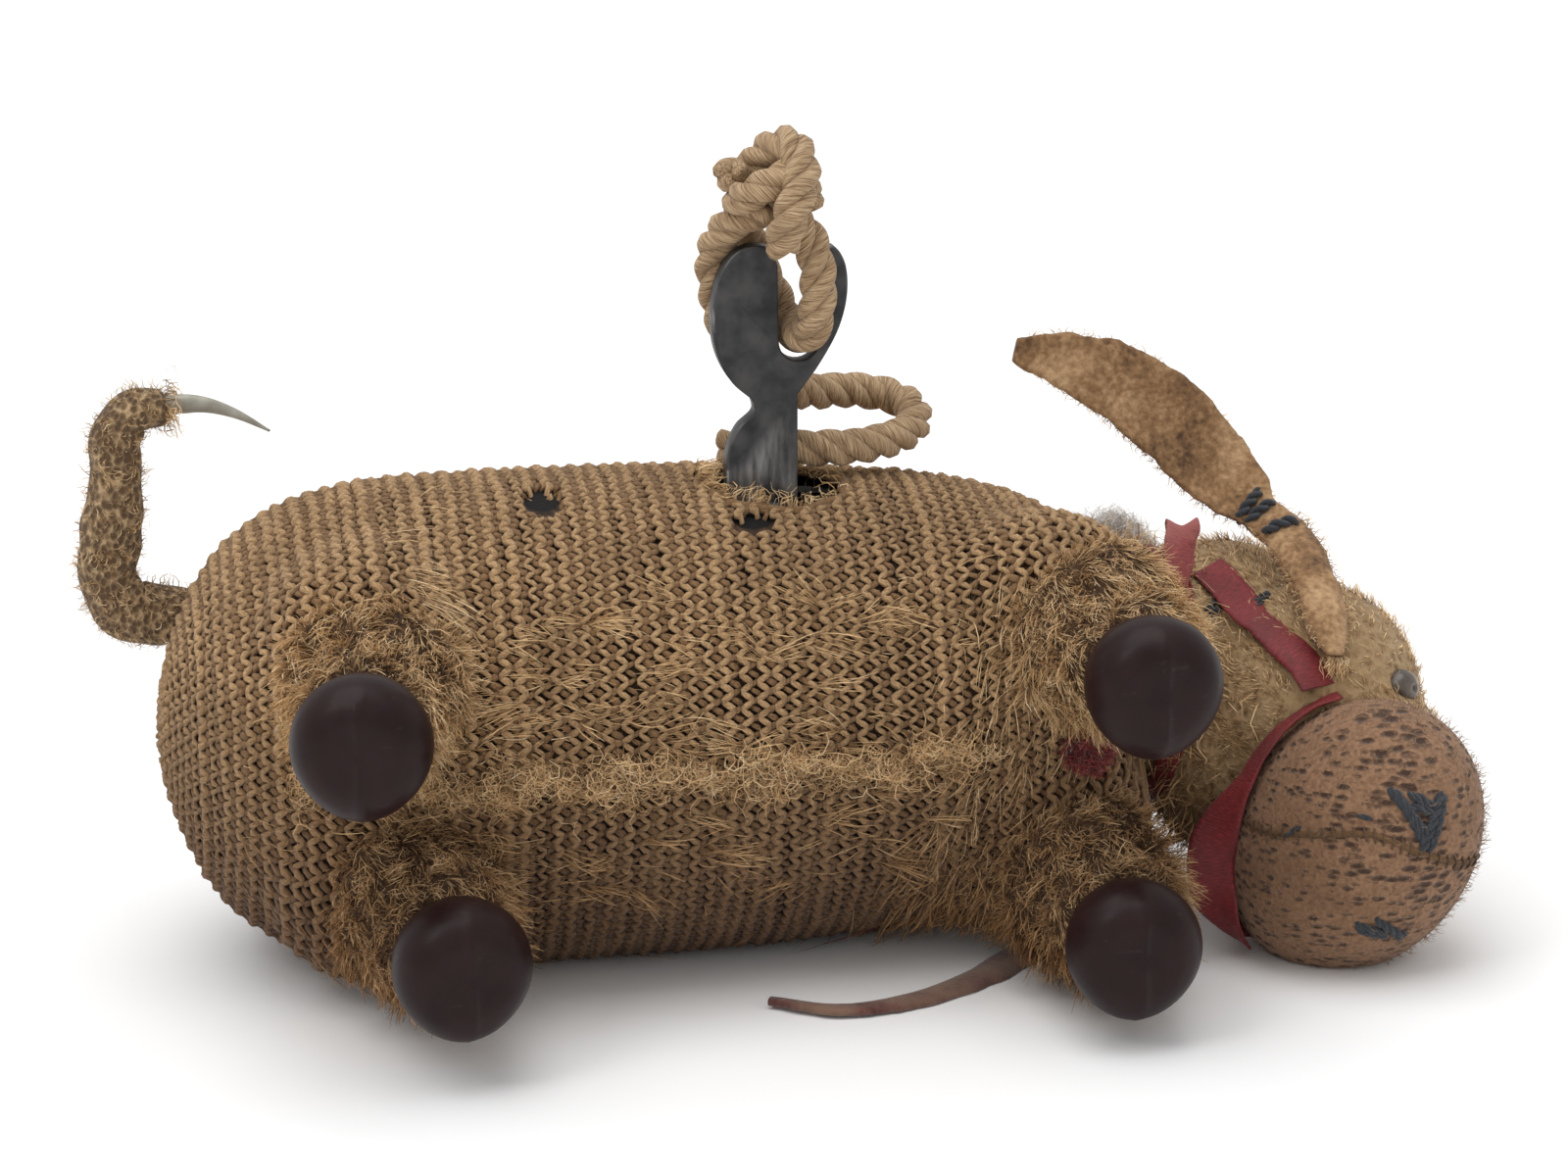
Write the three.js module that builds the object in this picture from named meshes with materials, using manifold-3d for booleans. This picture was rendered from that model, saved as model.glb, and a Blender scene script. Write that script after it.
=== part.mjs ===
// A clockwork walking donkey covered in knitted plush, lying on its left flank.
// Millimetres. +X runs from tail to head, +Y from belly to back, +Z from the left flank
// up to the right flank, where the key stands. The origin is under the middle of the toy,
// on the surface that it lies on.
import * as THREE from 'three';
import * as BufferGeometryUtils from 'three/addons/utils/BufferGeometryUtils.js';
import Module from 'manifold-3d';

const wasm = await Module();
wasm.setup();

// ---- driving dimensions ----
const GAP = 0.3;                 // clearance between neighbouring pieces
const MID_Z = 23.9;              // height of the toy's middle plane when it lies on its flank
const BODY_R = 24.7;             // greatest radius of the covered body
const BODY_FLAT_Y = 0.96;        // the body is a little shallower from belly to back
const COVER_T = 1.1;             // plush cover's wall
const SHELL_T = 0.6;             // pressed tin wall
const PIVOT_Y = -8;              // leg pivots, belly side of the body's axis
const SOLE_Y = -44;              // plane of the hoof soles
const REAR_X = -28.2;            // rear leg pivot
const FRONT_X = 41.0;            // front leg pivot
const REAR_OUT = 11.0;           // rear legs, from the middle plane
const FRONT_OUT = 13.0;          // front legs, from the middle plane
const LEVER_OUT = 11.1;          // steel levers inside the legs, from the middle plane
const REAR_STEP = 7.9;           // degrees that the rear legs stand apart from their middle
const FRONT_STEP = 1.2;          // degrees for the front legs
const SAG = 1.2;                 // the soft legs hang this much towards the surface
const HOOF_R = 6.6;
const HOOF_H = 8.5;
const KEY_X = 10.5;              // winding arbor
const KEY_Y = -4;
const GEAR_MODULE = 0.5;
const CRANK_R = 2.2;             // crank pin throw
const CORD_D = 3.7;              // twisted cord through the key
const CENTRE_SHIFT = [-12.1, 10.2, 0];   // puts the origin under the middle of the toy's box

// ---- materials ----
const paint = (color, roughness, metalness = 0) =>
  new THREE.MeshStandardMaterial({ color, roughness, metalness });
const PLUSH = paint(0x8a6f4c, 0.95);
const KNIT_MUZZLE = paint(0x93755b, 0.95);
const FELT = paint(0x89704a, 0.9);
const FELT_DARK = paint(0x6b3f30, 0.9);
const RIBBON = paint(0x6e1a1c, 0.6);
const HOOF_LACQUER = paint(0x2b2120, 0.35);
const BEAD = paint(0x241c18, 0.2);
const WOOL = paint(0xb2a89f, 0.95);
const IRON = paint(0x434343, 0.5, 0.8);
const TIN = paint(0x4b463f, 0.5, 0.7);
const BRASS = paint(0xa8873f, 0.4, 0.9);
const STEEL = paint(0x8a8d90, 0.35, 0.9);
const STRING = paint(0xb49b7c, 0.9);

const toy = new THREE.Group();
toy.position.set(...CENTRE_SHIFT);

function addMesh(name, geometry, material, parent = toy) {
  const mesh = new THREE.Mesh(geometry, material);
  mesh.name = name;
  parent.add(mesh);
  return mesh;
}

// ---- solids ----
function weld(geometry) {
  const bare = geometry.clone();
  for (const key of Object.keys(bare.attributes)) {
    if (key !== 'position') bare.deleteAttribute(key);
  }
  return BufferGeometryUtils.mergeVertices(bare, 1e-4);
}

function solid(geometry) {
  const welded = weld(geometry);
  return new wasm.Manifold(new wasm.Mesh({
    numProp: 3,
    vertProperties: new Float32Array(welded.attributes.position.array),
    triVerts: new Uint32Array(welded.index.array),
  }));
}

function toGeometry(manifold) {
  const mesh = manifold.getMesh();
  const geometry = new THREE.BufferGeometry();
  geometry.setAttribute('position', new THREE.BufferAttribute(new Float32Array(mesh.vertProperties), 3));
  geometry.setIndex(new THREE.BufferAttribute(new Uint32Array(mesh.triVerts), 1));
  geometry.computeVertexNormals();
  return geometry;
}

const join = (...parts) => parts.reduce((all, part) => all.add(part));

// A box given by its lowest and highest corners.
function block(low, high) {
  const size = low.map((v, i) => high[i] - v);
  const middle = low.map((v, i) => (high[i] + v) / 2);
  return new THREE.BoxGeometry(...size).translate(...middle);
}

// A rod parallel to Z.
function post(x, y, z0, z1, radius, sides = 14) {
  const rod = new THREE.CylinderGeometry(radius, radius, z1 - z0, sides);
  return rod.rotateX(Math.PI / 2).translate(x, y, (z0 + z1) / 2);
}

// An ellipsoid whose first radius lies along the direction "along".
function egg(centre, radii, along = [1, 0, 0], sides = 18, rings = 10) {
  const ball = new THREE.SphereGeometry(1, sides, rings).scale(radii[1], radii[0], radii[2]);
  const turn = new THREE.Quaternion().setFromUnitVectors(
    new THREE.Vector3(0, 1, 0), new THREE.Vector3(...along).normalize());
  return ball.applyQuaternion(turn).translate(...centre);
}

// A flat plate: its outline lies in the XY plane and it stands from z0 to z1.
function plate(shape, z0, z1, curveSegments = 8) {
  const options = { depth: z1 - z0, bevelEnabled: false, curveSegments };
  return new THREE.ExtrudeGeometry(shape, options).translate(0, 0, z0);
}

function roundHole(x, y, radius) {
  const hole = new THREE.Path();
  hole.absarc(x, y, radius, 0, 2 * Math.PI, true);
  return hole;
}

// A strip or rod swept through stations {at, side, wide, thick}. The section is an
// ellipse-like polygon for round work or a rectangle for ribbons.
function sweep(stations, section) {
  const points = [];
  const count = stations.length;
  stations.forEach((station, i) => {
    const before = stations[Math.max(i - 1, 0)].at;
    const after = stations[Math.min(i + 1, count - 1)].at;
    const run = new THREE.Vector3(...after).sub(new THREE.Vector3(...before)).normalize();
    const side = new THREE.Vector3(...station.side);
    side.addScaledVector(run, -side.dot(run)).normalize();
    const up = new THREE.Vector3().crossVectors(run, side);
    for (const [a, b] of section) {
      const p = new THREE.Vector3(...station.at);
      p.addScaledVector(side, a * station.wide / 2).addScaledVector(up, b * station.thick / 2);
      points.push(p.x, p.y, p.z);
    }
  });
  const n = section.length;
  const faces = [];
  for (let i = 0; i + 1 < count; i++) {
    for (let j = 0; j < n; j++) {
      const a = i * n + j;
      const b = i * n + (j + 1) % n;
      faces.push(a, b, b + n, a, b + n, a + n);
    }
  }
  for (let j = 1; j + 1 < n; j++) {
    faces.push(0, j + 1, j);
    faces.push((count - 1) * n, (count - 1) * n + j, (count - 1) * n + j + 1);
  }
  const geometry = new THREE.BufferGeometry();
  geometry.setAttribute('position', new THREE.BufferAttribute(new Float32Array(points), 3));
  geometry.setIndex(faces);
  geometry.computeVertexNormals();
  return geometry;
}

const FLAT = [[-1, -1], [1, -1], [1, 1], [-1, 1]];
function roundSection(sides) {
  return Array.from({ length: sides }, (_, i) => {
    const angle = 2 * Math.PI * i / sides;
    return [Math.cos(angle), Math.sin(angle)];
  });
}

// Stations along a smooth curve through the points, with width and thickness by formula.
function along(points, steps, side, wide, thick) {
  const curve = new THREE.CatmullRomCurve3(points.map((p) => new THREE.Vector3(...p)), false, 'centripetal');
  return Array.from({ length: steps + 1 }, (_, i) => {
    const t = i / steps;
    return { at: curve.getPointAt(t).toArray(), side: side(t), wide: wide(t), thick: thick(t) };
  });
}

// ---- body ----
// Half of the body's outline: [x, radius]. The rump is broad and the chest is narrower.
const BODY_OUTLINE = [
  [-50.2, 0], [-49.2, 6.6], [-47, 12.6], [-43.4, 18.0], [-37.6, 22.0], [-30, 24.1], [-20, BODY_R],
  [3, BODY_R], [16, 24.0], [28, 22.8], [36, 21.0], [42, 18.2], [46.5, 14.2], [49.4, 8.6], [50.4, 0],
];
// Haunches and shoulders that the legs come out of: x, y, distance from the middle, radii.
const HAUNCHES = [
  { x: -30, y: -13.5, out: 10.5, radii: [11.5, 11.0, 10.2] },
  { x: 37.5, y: -11.5, out: 10.5, radii: [11.0, 11.5, 9.6] },
];

function bodySolid(inset, sides) {
  const profile = BODY_OUTLINE.map(([x, r], i) => {
    const end = i === 0 || i === BODY_OUTLINE.length - 1;
    const towards = x < 0 ? inset : -inset;
    return new THREE.Vector2(end ? 0 : Math.max(r - inset, 0.4), x + (Math.abs(x) > 40 ? towards : 0));
  });
  const barrel = new THREE.LatheGeometry(profile, sides);
  barrel.rotateZ(-Math.PI / 2).scale(1, BODY_FLAT_Y, 1).translate(0, 0, MID_Z);
  return solid(barrel);
}

function haunchSolids(grow) {
  const parts = [];
  for (const haunch of HAUNCHES) {
    for (const sign of [1, -1]) {
      const centre = [haunch.x, haunch.y, MID_Z + sign * haunch.out];
      parts.push(solid(egg(centre, haunch.radii.map((r) => r + grow), [0, 0, 1], 12, 7)));
    }
  }
  return join(...parts);
}

const underFloor = solid(block([-200, -200, -50], [200, 200, 0]));
// Slots that the legs swing in. The front ones run up round the axle, close to the chest's curve.
const LEG_SLOTS = [{ x: REAR_X, half: 5.4, top: PIVOT_Y - 2.5 }, { x: FRONT_X, half: 6.4, top: PIVOT_Y + 4 }];
function legSlots() {
  const parts = [];
  for (const slot of LEG_SLOTS) {
    for (const sign of [1, -1]) {
      const z = MID_Z + sign * LEVER_OUT;
      parts.push(solid(block([slot.x - slot.half, -32, z - 1.5], [slot.x + slot.half, slot.top, z + 1.5])));
    }
  }
  return join(...parts);
}
const keyHole = solid(new THREE.CylinderGeometry(1, 1, 20, 18)
  .scale(7.4, 1, 5.2).rotateX(Math.PI / 2).translate(KEY_X + 1, KEY_Y + 0.6, MID_Z + 22));
const bodyCuts = join(legSlots(), keyHole);
const coverOutside = bodySolid(0, 24).add(haunchSolids(0)).subtract(underFloor);
const bodyEnvelope = bodySolid(-GAP, 24).add(haunchSolids(GAP));
const cover = coverOutside.subtract(bodySolid(COVER_T, 16)).subtract(bodyCuts);
addMesh('body_cover', toGeometry(cover), PLUSH);

// Two tin half shells, which meet on the middle plane.
const SEAM = 0.1;
const shellOutside = bodySolid(COVER_T + GAP, 16);
const shellWall = shellOutside.subtract(bodySolid(COVER_T + GAP + SHELL_T, 16)).subtract(bodyCuts);
function halfShell(low, high) {
  return toGeometry(shellWall.intersect(solid(block([-60, -40, low], [60, 40, high]))));
}
addMesh('body_shell_right', halfShell(MID_Z + SEAM, 60), TIN);
addMesh('body_shell_left', halfShell(-5, MID_Z - SEAM), TIN);

// ---- clockwork ----
const PLATE_T = 0.8;
const PLATE_Z = [MID_Z - 8.5, MID_Z + 7.7];        // undersides of the left and right plates
const FRONT_PLATE_TOP = PLATE_Z[1] + PLATE_T;
const GREAT = { x: KEY_X, y: KEY_Y, teeth: 48, z: MID_Z + 0.7 };
const SECOND = { x: KEY_X - 15, y: KEY_Y, teeth: 36, pinion: 12, z: MID_Z + 4.8 };
const CRANK = { x: SECOND.x - 11.25, y: KEY_Y, teeth: 30, pinion: 9, z: MID_Z - 3.6 };
const ESCAPE_ANGLE = THREE.MathUtils.degToRad(105);
const ESCAPE = {
  x: CRANK.x + 10 * Math.cos(ESCAPE_ANGLE), y: CRANK.y + 10 * Math.sin(ESCAPE_ANGLE),
  teeth: 12, pinion: 10, z: MID_Z + 0.5,
};
const PALLET = { x: ESCAPE.x + 7.2, y: ESCAPE.y + 1.0 };
const WHEEL_T = 0.9;
const PIVOT_R = 0.6;
const ARBOR_R = 1.0;
const KEY_ARBOR_R = 1.7;

// A gear outline centred on 0, 0, with slightly thin teeth for running clearance. "turn" is in pitches.
function gearShape(teeth, boreRadius, turn = 0) {
  const pitch = 2 * Math.PI / teeth;
  const pitchRadius = teeth * GEAR_MODULE / 2;
  const root = pitchRadius - 1.15 * GEAR_MODULE;
  const tip = pitchRadius + 0.8 * GEAR_MODULE;
  const shape = new THREE.Shape();
  const flank = teeth > 20 ? [[root, -0.28], [tip, 0], [root, 0.28]]
    : [[root, -0.28], [tip, -0.1], [tip, 0.1], [root, 0.28]];
  for (let i = 0; i < teeth; i++) {
    for (const [radius, place] of flank) {
      const angle = (i + turn + place) * pitch;
      const x = radius * Math.cos(angle);
      const y = radius * Math.sin(angle);
      if (i === 0 && place < -0.2) shape.moveTo(x, y);
      else shape.lineTo(x, y);
    }
  }
  shape.closePath();
  if (boreRadius) shape.holes.push(roundHole(0, 0, boreRadius));
  return shape;
}

// Plates with a hole for each arbor.
function platesShape(holes) {
  const shape = new THREE.Shape();
  shape.moveTo(-24.5, -13.5);
  shape.lineTo(24, -13.5);
  shape.lineTo(24, 12.5);
  shape.lineTo(-24.5, 12.5);
  shape.closePath();
  for (const [x, y, radius] of holes) shape.holes.push(roundHole(x, y, radius));
  return shape;
}
const PLATE_HOLES = [
  [GREAT.x, GREAT.y, KEY_ARBOR_R + 0.15], [SECOND.x, SECOND.y, PIVOT_R + 0.15],
  [CRANK.x, CRANK.y, ARBOR_R + 0.15], [ESCAPE.x, ESCAPE.y, PIVOT_R + 0.15],
  [PALLET.x, PALLET.y, PIVOT_R + 0.15],
];
['left', 'right'].forEach((side, i) => {
  const sheet = plate(platesShape(PLATE_HOLES), PLATE_Z[i], PLATE_Z[i] + PLATE_T, 5);
  addMesh(`movement_plate_${side}`, sheet, BRASS);
});
const PILLARS = [[-22.5, -11.5], [-22.5, 10.6], [21.8, -11.5], [21.8, 10.6]];
PILLARS.forEach(([x, y], i) => {
  addMesh(`movement_pillar_${i + 1}`, post(x, y, PLATE_Z[0] + PLATE_T, PLATE_Z[1], 1.1, 10), STEEL);
});

// An arbor with thin pivots that turn in the two plates.
function arbor(wheel, radius, pivotRadius, low, high) {
  const inner = [PLATE_Z[0] + PLATE_T + 0.1, PLATE_Z[1] - 0.1];
  const profile = [
    [0, low], [pivotRadius, low], [pivotRadius, inner[0]], [radius, inner[0]],
    [radius, inner[1]], [pivotRadius, inner[1]], [pivotRadius, high], [0, high],
  ].map(([r, z]) => new THREE.Vector2(r, z));
  return new THREE.LatheGeometry(profile, 12).rotateX(Math.PI / 2).translate(wheel.x, wheel.y, 0);
}
function gearAt(wheel, teeth, bore, z, thickness, turn) {
  return plate(gearShape(teeth, bore, turn), z, z + thickness, 5).translate(wheel.x, wheel.y, 0);
}
const PLATE_OUT = [PLATE_Z[0] - 0.2, FRONT_PLATE_TOP + 0.2];

// Great wheel: runs free on the winding arbor, and carries the click.
addMesh('great_wheel', gearAt(GREAT, GREAT.teeth, KEY_ARBOR_R + 0.1, GREAT.z, WHEEL_T, 0), BRASS);

// Second wheel and its pinion, which the great wheel drives.
addMesh('second_pinion', toGeometry(solid(arbor(SECOND, ARBOR_R, PIVOT_R, ...PLATE_OUT))
  .add(solid(gearAt(SECOND, SECOND.pinion, 0, GREAT.z - 0.3, WHEEL_T + 0.6, 0.5)))), STEEL);
addMesh('second_wheel', gearAt(SECOND, SECOND.teeth, ARBOR_R + 0.08, SECOND.z, WHEEL_T, 0), BRASS);

// Crank arbor: its pinion is driven by the second wheel, and it carries a wheel and two crank discs.
const CRANK_OUT = 9.4;           // outer face of the crank discs from the middle plane
const DISC_T = 0.6;
const crankArbor = post(CRANK.x, CRANK.y, MID_Z - CRANK_OUT + 0.2, MID_Z + CRANK_OUT - 0.2, ARBOR_R, 12);
addMesh('crank_pinion', toGeometry(solid(crankArbor)
  .add(solid(gearAt(CRANK, CRANK.pinion, 0, SECOND.z - 0.3, WHEEL_T + 0.6, 0.5)))), STEEL);
addMesh('crank_wheel', gearAt(CRANK, CRANK.teeth, ARBOR_R + 0.08, CRANK.z, WHEEL_T, 0), BRASS);
['right', 'left'].forEach((side) => {
  const sign = side === 'right' ? 1 : -1;
  const faceZ = MID_Z + sign * CRANK_OUT;
  const backZ = faceZ - sign * DISC_T;
  const disc = new THREE.Shape();
  disc.absarc(0, 0, 3.4, 0, 2 * Math.PI, false);
  disc.holes.push(roundHole(0, 0, ARBOR_R + 0.08));
  const body = plate(disc, Math.min(faceZ, backZ), Math.max(faceZ, backZ), 8).translate(CRANK.x, CRANK.y, 0);
  const pinEnd = faceZ + sign * 0.4;
  const pinY = CRANK.y - sign * CRANK_R;
  const pin = post(CRANK.x, pinY, Math.min(backZ, pinEnd), Math.max(backZ, pinEnd), 0.6, 10);
  addMesh(`crank_disc_${side}`, toGeometry(solid(body).add(solid(pin))), STEEL);
});

// Escape wheel and pallet, which hold the speed down.
const escapeTurn = ESCAPE_ANGLE / (2 * Math.PI);
const pinionTurn = (escapeTurn + 0.5) * ESCAPE.pinion + 0.5;
addMesh('escape_pinion', toGeometry(solid(arbor(ESCAPE, ARBOR_R, PIVOT_R, ...PLATE_OUT))
  .add(solid(gearAt(ESCAPE, ESCAPE.pinion, 0, CRANK.z - 0.3, WHEEL_T + 0.6,
    pinionTurn + escapeTurn * CRANK.teeth)))), STEEL);
function starShape(points, root, tip, lean, bore) {
  const shape = new THREE.Shape();
  for (let i = 0; i < points; i++) {
    const step = 2 * Math.PI / points;
    const a = i * step;
    const out = [root * Math.cos(a), root * Math.sin(a)];
    if (i === 0) shape.moveTo(...out);
    else shape.lineTo(...out);
    shape.lineTo(tip * Math.cos(a + lean * step), tip * Math.sin(a + lean * step));
  }
  shape.closePath();
  if (bore) shape.holes.push(roundHole(0, 0, bore));
  return shape;
}
const ESCAPE_TIP = 4.2;
const escapeStar = starShape(ESCAPE.teeth, 3.1, ESCAPE_TIP, 0.15, ARBOR_R + 0.08);
addMesh('escape_wheel', plate(escapeStar, ESCAPE.z, ESCAPE.z + WHEEL_T, 5)
  .translate(ESCAPE.x, ESCAPE.y, 0), BRASS);
// The pallet is an anchor with two arms. Its tips stay just clear of the wheel.
const anchor = new THREE.Shape();
anchor.moveTo(0.9, -1.3);
anchor.lineTo(1.3, 0);
anchor.lineTo(0.9, 1.3);
anchor.lineTo(-3.6, 3.9);
anchor.lineTo(-4.6, 3.9);
anchor.lineTo(-4.2, 3.1);
anchor.lineTo(-1.3, 0.9);
anchor.lineTo(-1.3, -0.9);
anchor.lineTo(-4.2, -3.1);
anchor.lineTo(-4.6, -3.9);
anchor.lineTo(-3.6, -3.9);
anchor.closePath();
const palletAngle = Math.atan2(PALLET.y - ESCAPE.y, PALLET.x - ESCAPE.x);
const anchorPlate = plate(anchor, ESCAPE.z, ESCAPE.z + WHEEL_T);
anchorPlate.rotateZ(palletAngle).translate(PALLET.x, PALLET.y, 0);
const palletArbor = solid(arbor(PALLET, 0.7, PIVOT_R, ...PLATE_OUT));
addMesh('pallet', toGeometry(palletArbor.add(solid(anchorPlate))), STEEL);

// Mainspring: a flat steel ribbon wound round the arbor, hooked over a pillar at its outer end.
const SPRING = { inner: 3.2, outer: 10.4, turns: 4, low: PLATE_Z[0] + PLATE_T + 0.6, high: GREAT.z - 0.6 };
function springStations() {
  const steps = SPRING.turns * 12;
  return Array.from({ length: steps + 1 }, (_, i) => {
    const t = i / steps;
    const angle = 2 * Math.PI * SPRING.turns * t;
    const radius = SPRING.inner + (SPRING.outer - SPRING.inner) * t;
    const x = GREAT.x + radius * Math.cos(angle);
    const y = GREAT.y + radius * Math.sin(angle);
    const at = [x, y, (SPRING.low + SPRING.high) / 2];
    return { at, side: [0, 0, 1], wide: SPRING.high - SPRING.low, thick: 0.35 };
  });
}
addMesh('mainspring', sweep(springStations(), FLAT), STEEL);

// Winding arbor with its ratchet wheel, and the click on the great wheel.
const RATCHET_Z = GREAT.z + WHEEL_T + 0.4;
const RATCHET_TIP = 4.6;
const KEY_FOOT_Z = MID_Z + 19.5;
addMesh('winding_arbor', post(KEY_X, KEY_Y, PLATE_Z[0] - 0.2, KEY_FOOT_Z, KEY_ARBOR_R, 14), STEEL);
const ratchetStar = starShape(12, 3.6, RATCHET_TIP, 0.12, KEY_ARBOR_R + 0.08);
addMesh('ratchet_wheel', plate(ratchetStar, RATCHET_Z, RATCHET_Z + 0.9, 5)
  .translate(KEY_X, KEY_Y, 0), STEEL);
const CLICK = { x: KEY_X + 6.45, y: KEY_Y + 4.75 };
const clickShape = new THREE.Shape();
clickShape.moveTo(0.9, 0.9);
clickShape.lineTo(-0.5, 1.1);
clickShape.lineTo(-4.3, -0.2);
clickShape.lineTo(-4.5, -0.9);
clickShape.lineTo(-0.8, -0.9);
clickShape.lineTo(0.7, -0.8);
clickShape.closePath();
addMesh('click', plate(clickShape, RATCHET_Z, RATCHET_Z + 0.9).translate(CLICK.x, CLICK.y, 0), STEEL);

// ---- legs ----
const LEVER_T = 0.8;
const LEVER_W = 3.6;
// Each leg is drawn about its pivot, pointing straight to the belly, then turned to its step.
function legLever(kind) {
  const half = LEVER_W / 2;
  const shape = new THREE.Shape();
  const end = SOLE_Y - PIVOT_Y + 2.2;
  shape.moveTo(-half, end);
  shape.lineTo(half, end);
  shape.lineTo(half, -1.8);
  if (kind === 'rear') {
    shape.lineTo(9.5, 1.2);
    shape.lineTo(16.5, 3.4);
    shape.lineTo(15.7, 6.2);
    shape.lineTo(8.6, 4.4);
    shape.lineTo(-half, 2.2);
    const slot = new THREE.Path();
    slot.moveTo(11.2, 2.75);
    slot.lineTo(10.8, 4.2);
    slot.lineTo(14.9, 5.3);
    slot.lineTo(15.3, 3.9);
    slot.closePath();
    shape.holes.push(slot);
  } else {
    shape.lineTo(half, 1.8);
    shape.lineTo(1.2, 10.6);
    shape.lineTo(0, 11.2);
    shape.lineTo(-1.2, 10.6);
    shape.lineTo(-half, 1.8);
    shape.holes.push(roundHole(0, 10, 0.65));
  }
  shape.closePath();
  shape.holes.push(roundHole(0, 0, 1.05));
  return plate(shape, -LEVER_T / 2, LEVER_T / 2, 5);
}

// Plush leg: a tapering tube from the haunch to the hoof, flat on top where it clears the body.
function legCoverProfile() {
  const top = -18.6;
  const bottom = SOLE_Y - PIVOT_Y + HOOF_H + GAP;
  return [[0, bottom], [5.3, bottom], [5.5, bottom + 3], [6.6, top - 1.2], [6.2, top], [0, top]];
}
const HOOF_PROFILE = [
  [0, 0], [3.4, 0], [5.4, 0.9], [6.4, 2.6], [HOOF_R, 4.6], [6.2, 6.8], [5.4, HOOF_H], [0, HOOF_H],
];
function lathe(profile, sides) {
  return new THREE.LatheGeometry(profile.map(([r, y]) => new THREE.Vector2(r, y)), sides);
}

// "shift" is the leg's middle from its lever: the pairs stand at their own widths, and all sag a little.
const LEGS = [
  { name: 'rear_right', x: REAR_X, sign: 1, shift: REAR_OUT - LEVER_OUT - SAG, step: -REAR_STEP },
  { name: 'rear_left', x: REAR_X, sign: -1, shift: LEVER_OUT - REAR_OUT - SAG, step: REAR_STEP },
  { name: 'front_right', x: FRONT_X, sign: 1, shift: FRONT_OUT - LEVER_OUT - SAG, step: FRONT_STEP },
  { name: 'front_left', x: FRONT_X, sign: -1, shift: LEVER_OUT - FRONT_OUT - SAG, step: -FRONT_STEP },
];
for (const leg of LEGS) {
  const group = new THREE.Group();
  group.position.set(leg.x, PIVOT_Y, MID_Z + leg.sign * LEVER_OUT);
  group.rotation.z = THREE.MathUtils.degToRad(leg.step);
  toy.add(group);
  const kind = leg.name.slice(0, leg.name.indexOf('_'));
  addMesh(`${leg.name}_lever`, legLever(kind), STEEL, group);
  const reach = SOLE_Y - PIVOT_Y;
  const room = [LEVER_W / 2 + GAP, LEVER_T / 2 + GAP];
  const leverRoom = solid(block([-room[0], reach + 1.8, -room[1]], [room[0], 0, room[1]]));
  const coverLeg = solid(lathe(legCoverProfile(), 14).translate(0, 0, leg.shift)).subtract(leverRoom);
  addMesh(`${leg.name}_leg_cover`, toGeometry(coverLeg), PLUSH, group);
  const hoof = solid(lathe(HOOF_PROFILE, 18).translate(0, reach, leg.shift)).subtract(leverRoom);
  addMesh(`${leg.name}_hoof`, toGeometry(hoof), HOOF_LACQUER, group);
}

// Leg axles: one wire right across the body for each pair.
addMesh('rear_axle', post(REAR_X, PIVOT_Y, MID_Z - 12.2, MID_Z + 12.2, 0.9, 12), STEEL);
addMesh('front_axle', post(FRONT_X, PIVOT_Y, MID_Z - 12.2, MID_Z + 12.2, 0.9, 12), STEEL);

// Driving rods: a slotted yoke at the crank, an eye pin at the front leg's lever.
const ROD_T = 0.5;
const ROD_OUT = 10.0;            // inner face of the rod from the middle plane
const ROD_Y = PIVOT_Y + 10;
for (const side of ['right', 'left']) {
  const sign = side === 'right' ? 1 : -1;
  const step = THREE.MathUtils.degToRad(sign * FRONT_STEP);
  const pinX = FRONT_X - 10 * Math.sin(step);
  const pinY = PIVOT_Y + 10 * Math.cos(step);
  const shape = new THREE.Shape();
  shape.moveTo(CRANK.x - 2.4, CRANK.y - 4.2);
  shape.lineTo(CRANK.x + 2.4, CRANK.y - 4.2);
  shape.lineTo(CRANK.x + 2.4, ROD_Y - 0.9);
  shape.lineTo(pinX + 1.6, pinY - 0.9);
  shape.lineTo(pinX + 1.6, pinY + 0.9);
  shape.lineTo(CRANK.x - 2.4, ROD_Y + 0.9);
  shape.closePath();
  const slot = new THREE.Path();
  slot.moveTo(CRANK.x - 0.8, CRANK.y - 3.2);
  slot.lineTo(CRANK.x - 0.8, CRANK.y + 3.2);
  slot.lineTo(CRANK.x + 0.8, CRANK.y + 3.2);
  slot.lineTo(CRANK.x + 0.8, CRANK.y - 3.2);
  slot.closePath();
  shape.holes.push(slot);
  const inner = MID_Z + sign * ROD_OUT;
  const outer = MID_Z + sign * (ROD_OUT + ROD_T);
  const bar = plate(shape, Math.min(inner, outer), Math.max(inner, outer));
  const pinEnd = MID_Z + sign * (LEVER_OUT + LEVER_T / 2 + 0.4);
  const pin = post(pinX, pinY, Math.min(inner, pinEnd), Math.max(inner, pinEnd), 0.5, 10);
  addMesh(`driving_rod_${side}`, toGeometry(solid(bar).add(solid(pin))), STEEL);
}

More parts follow.
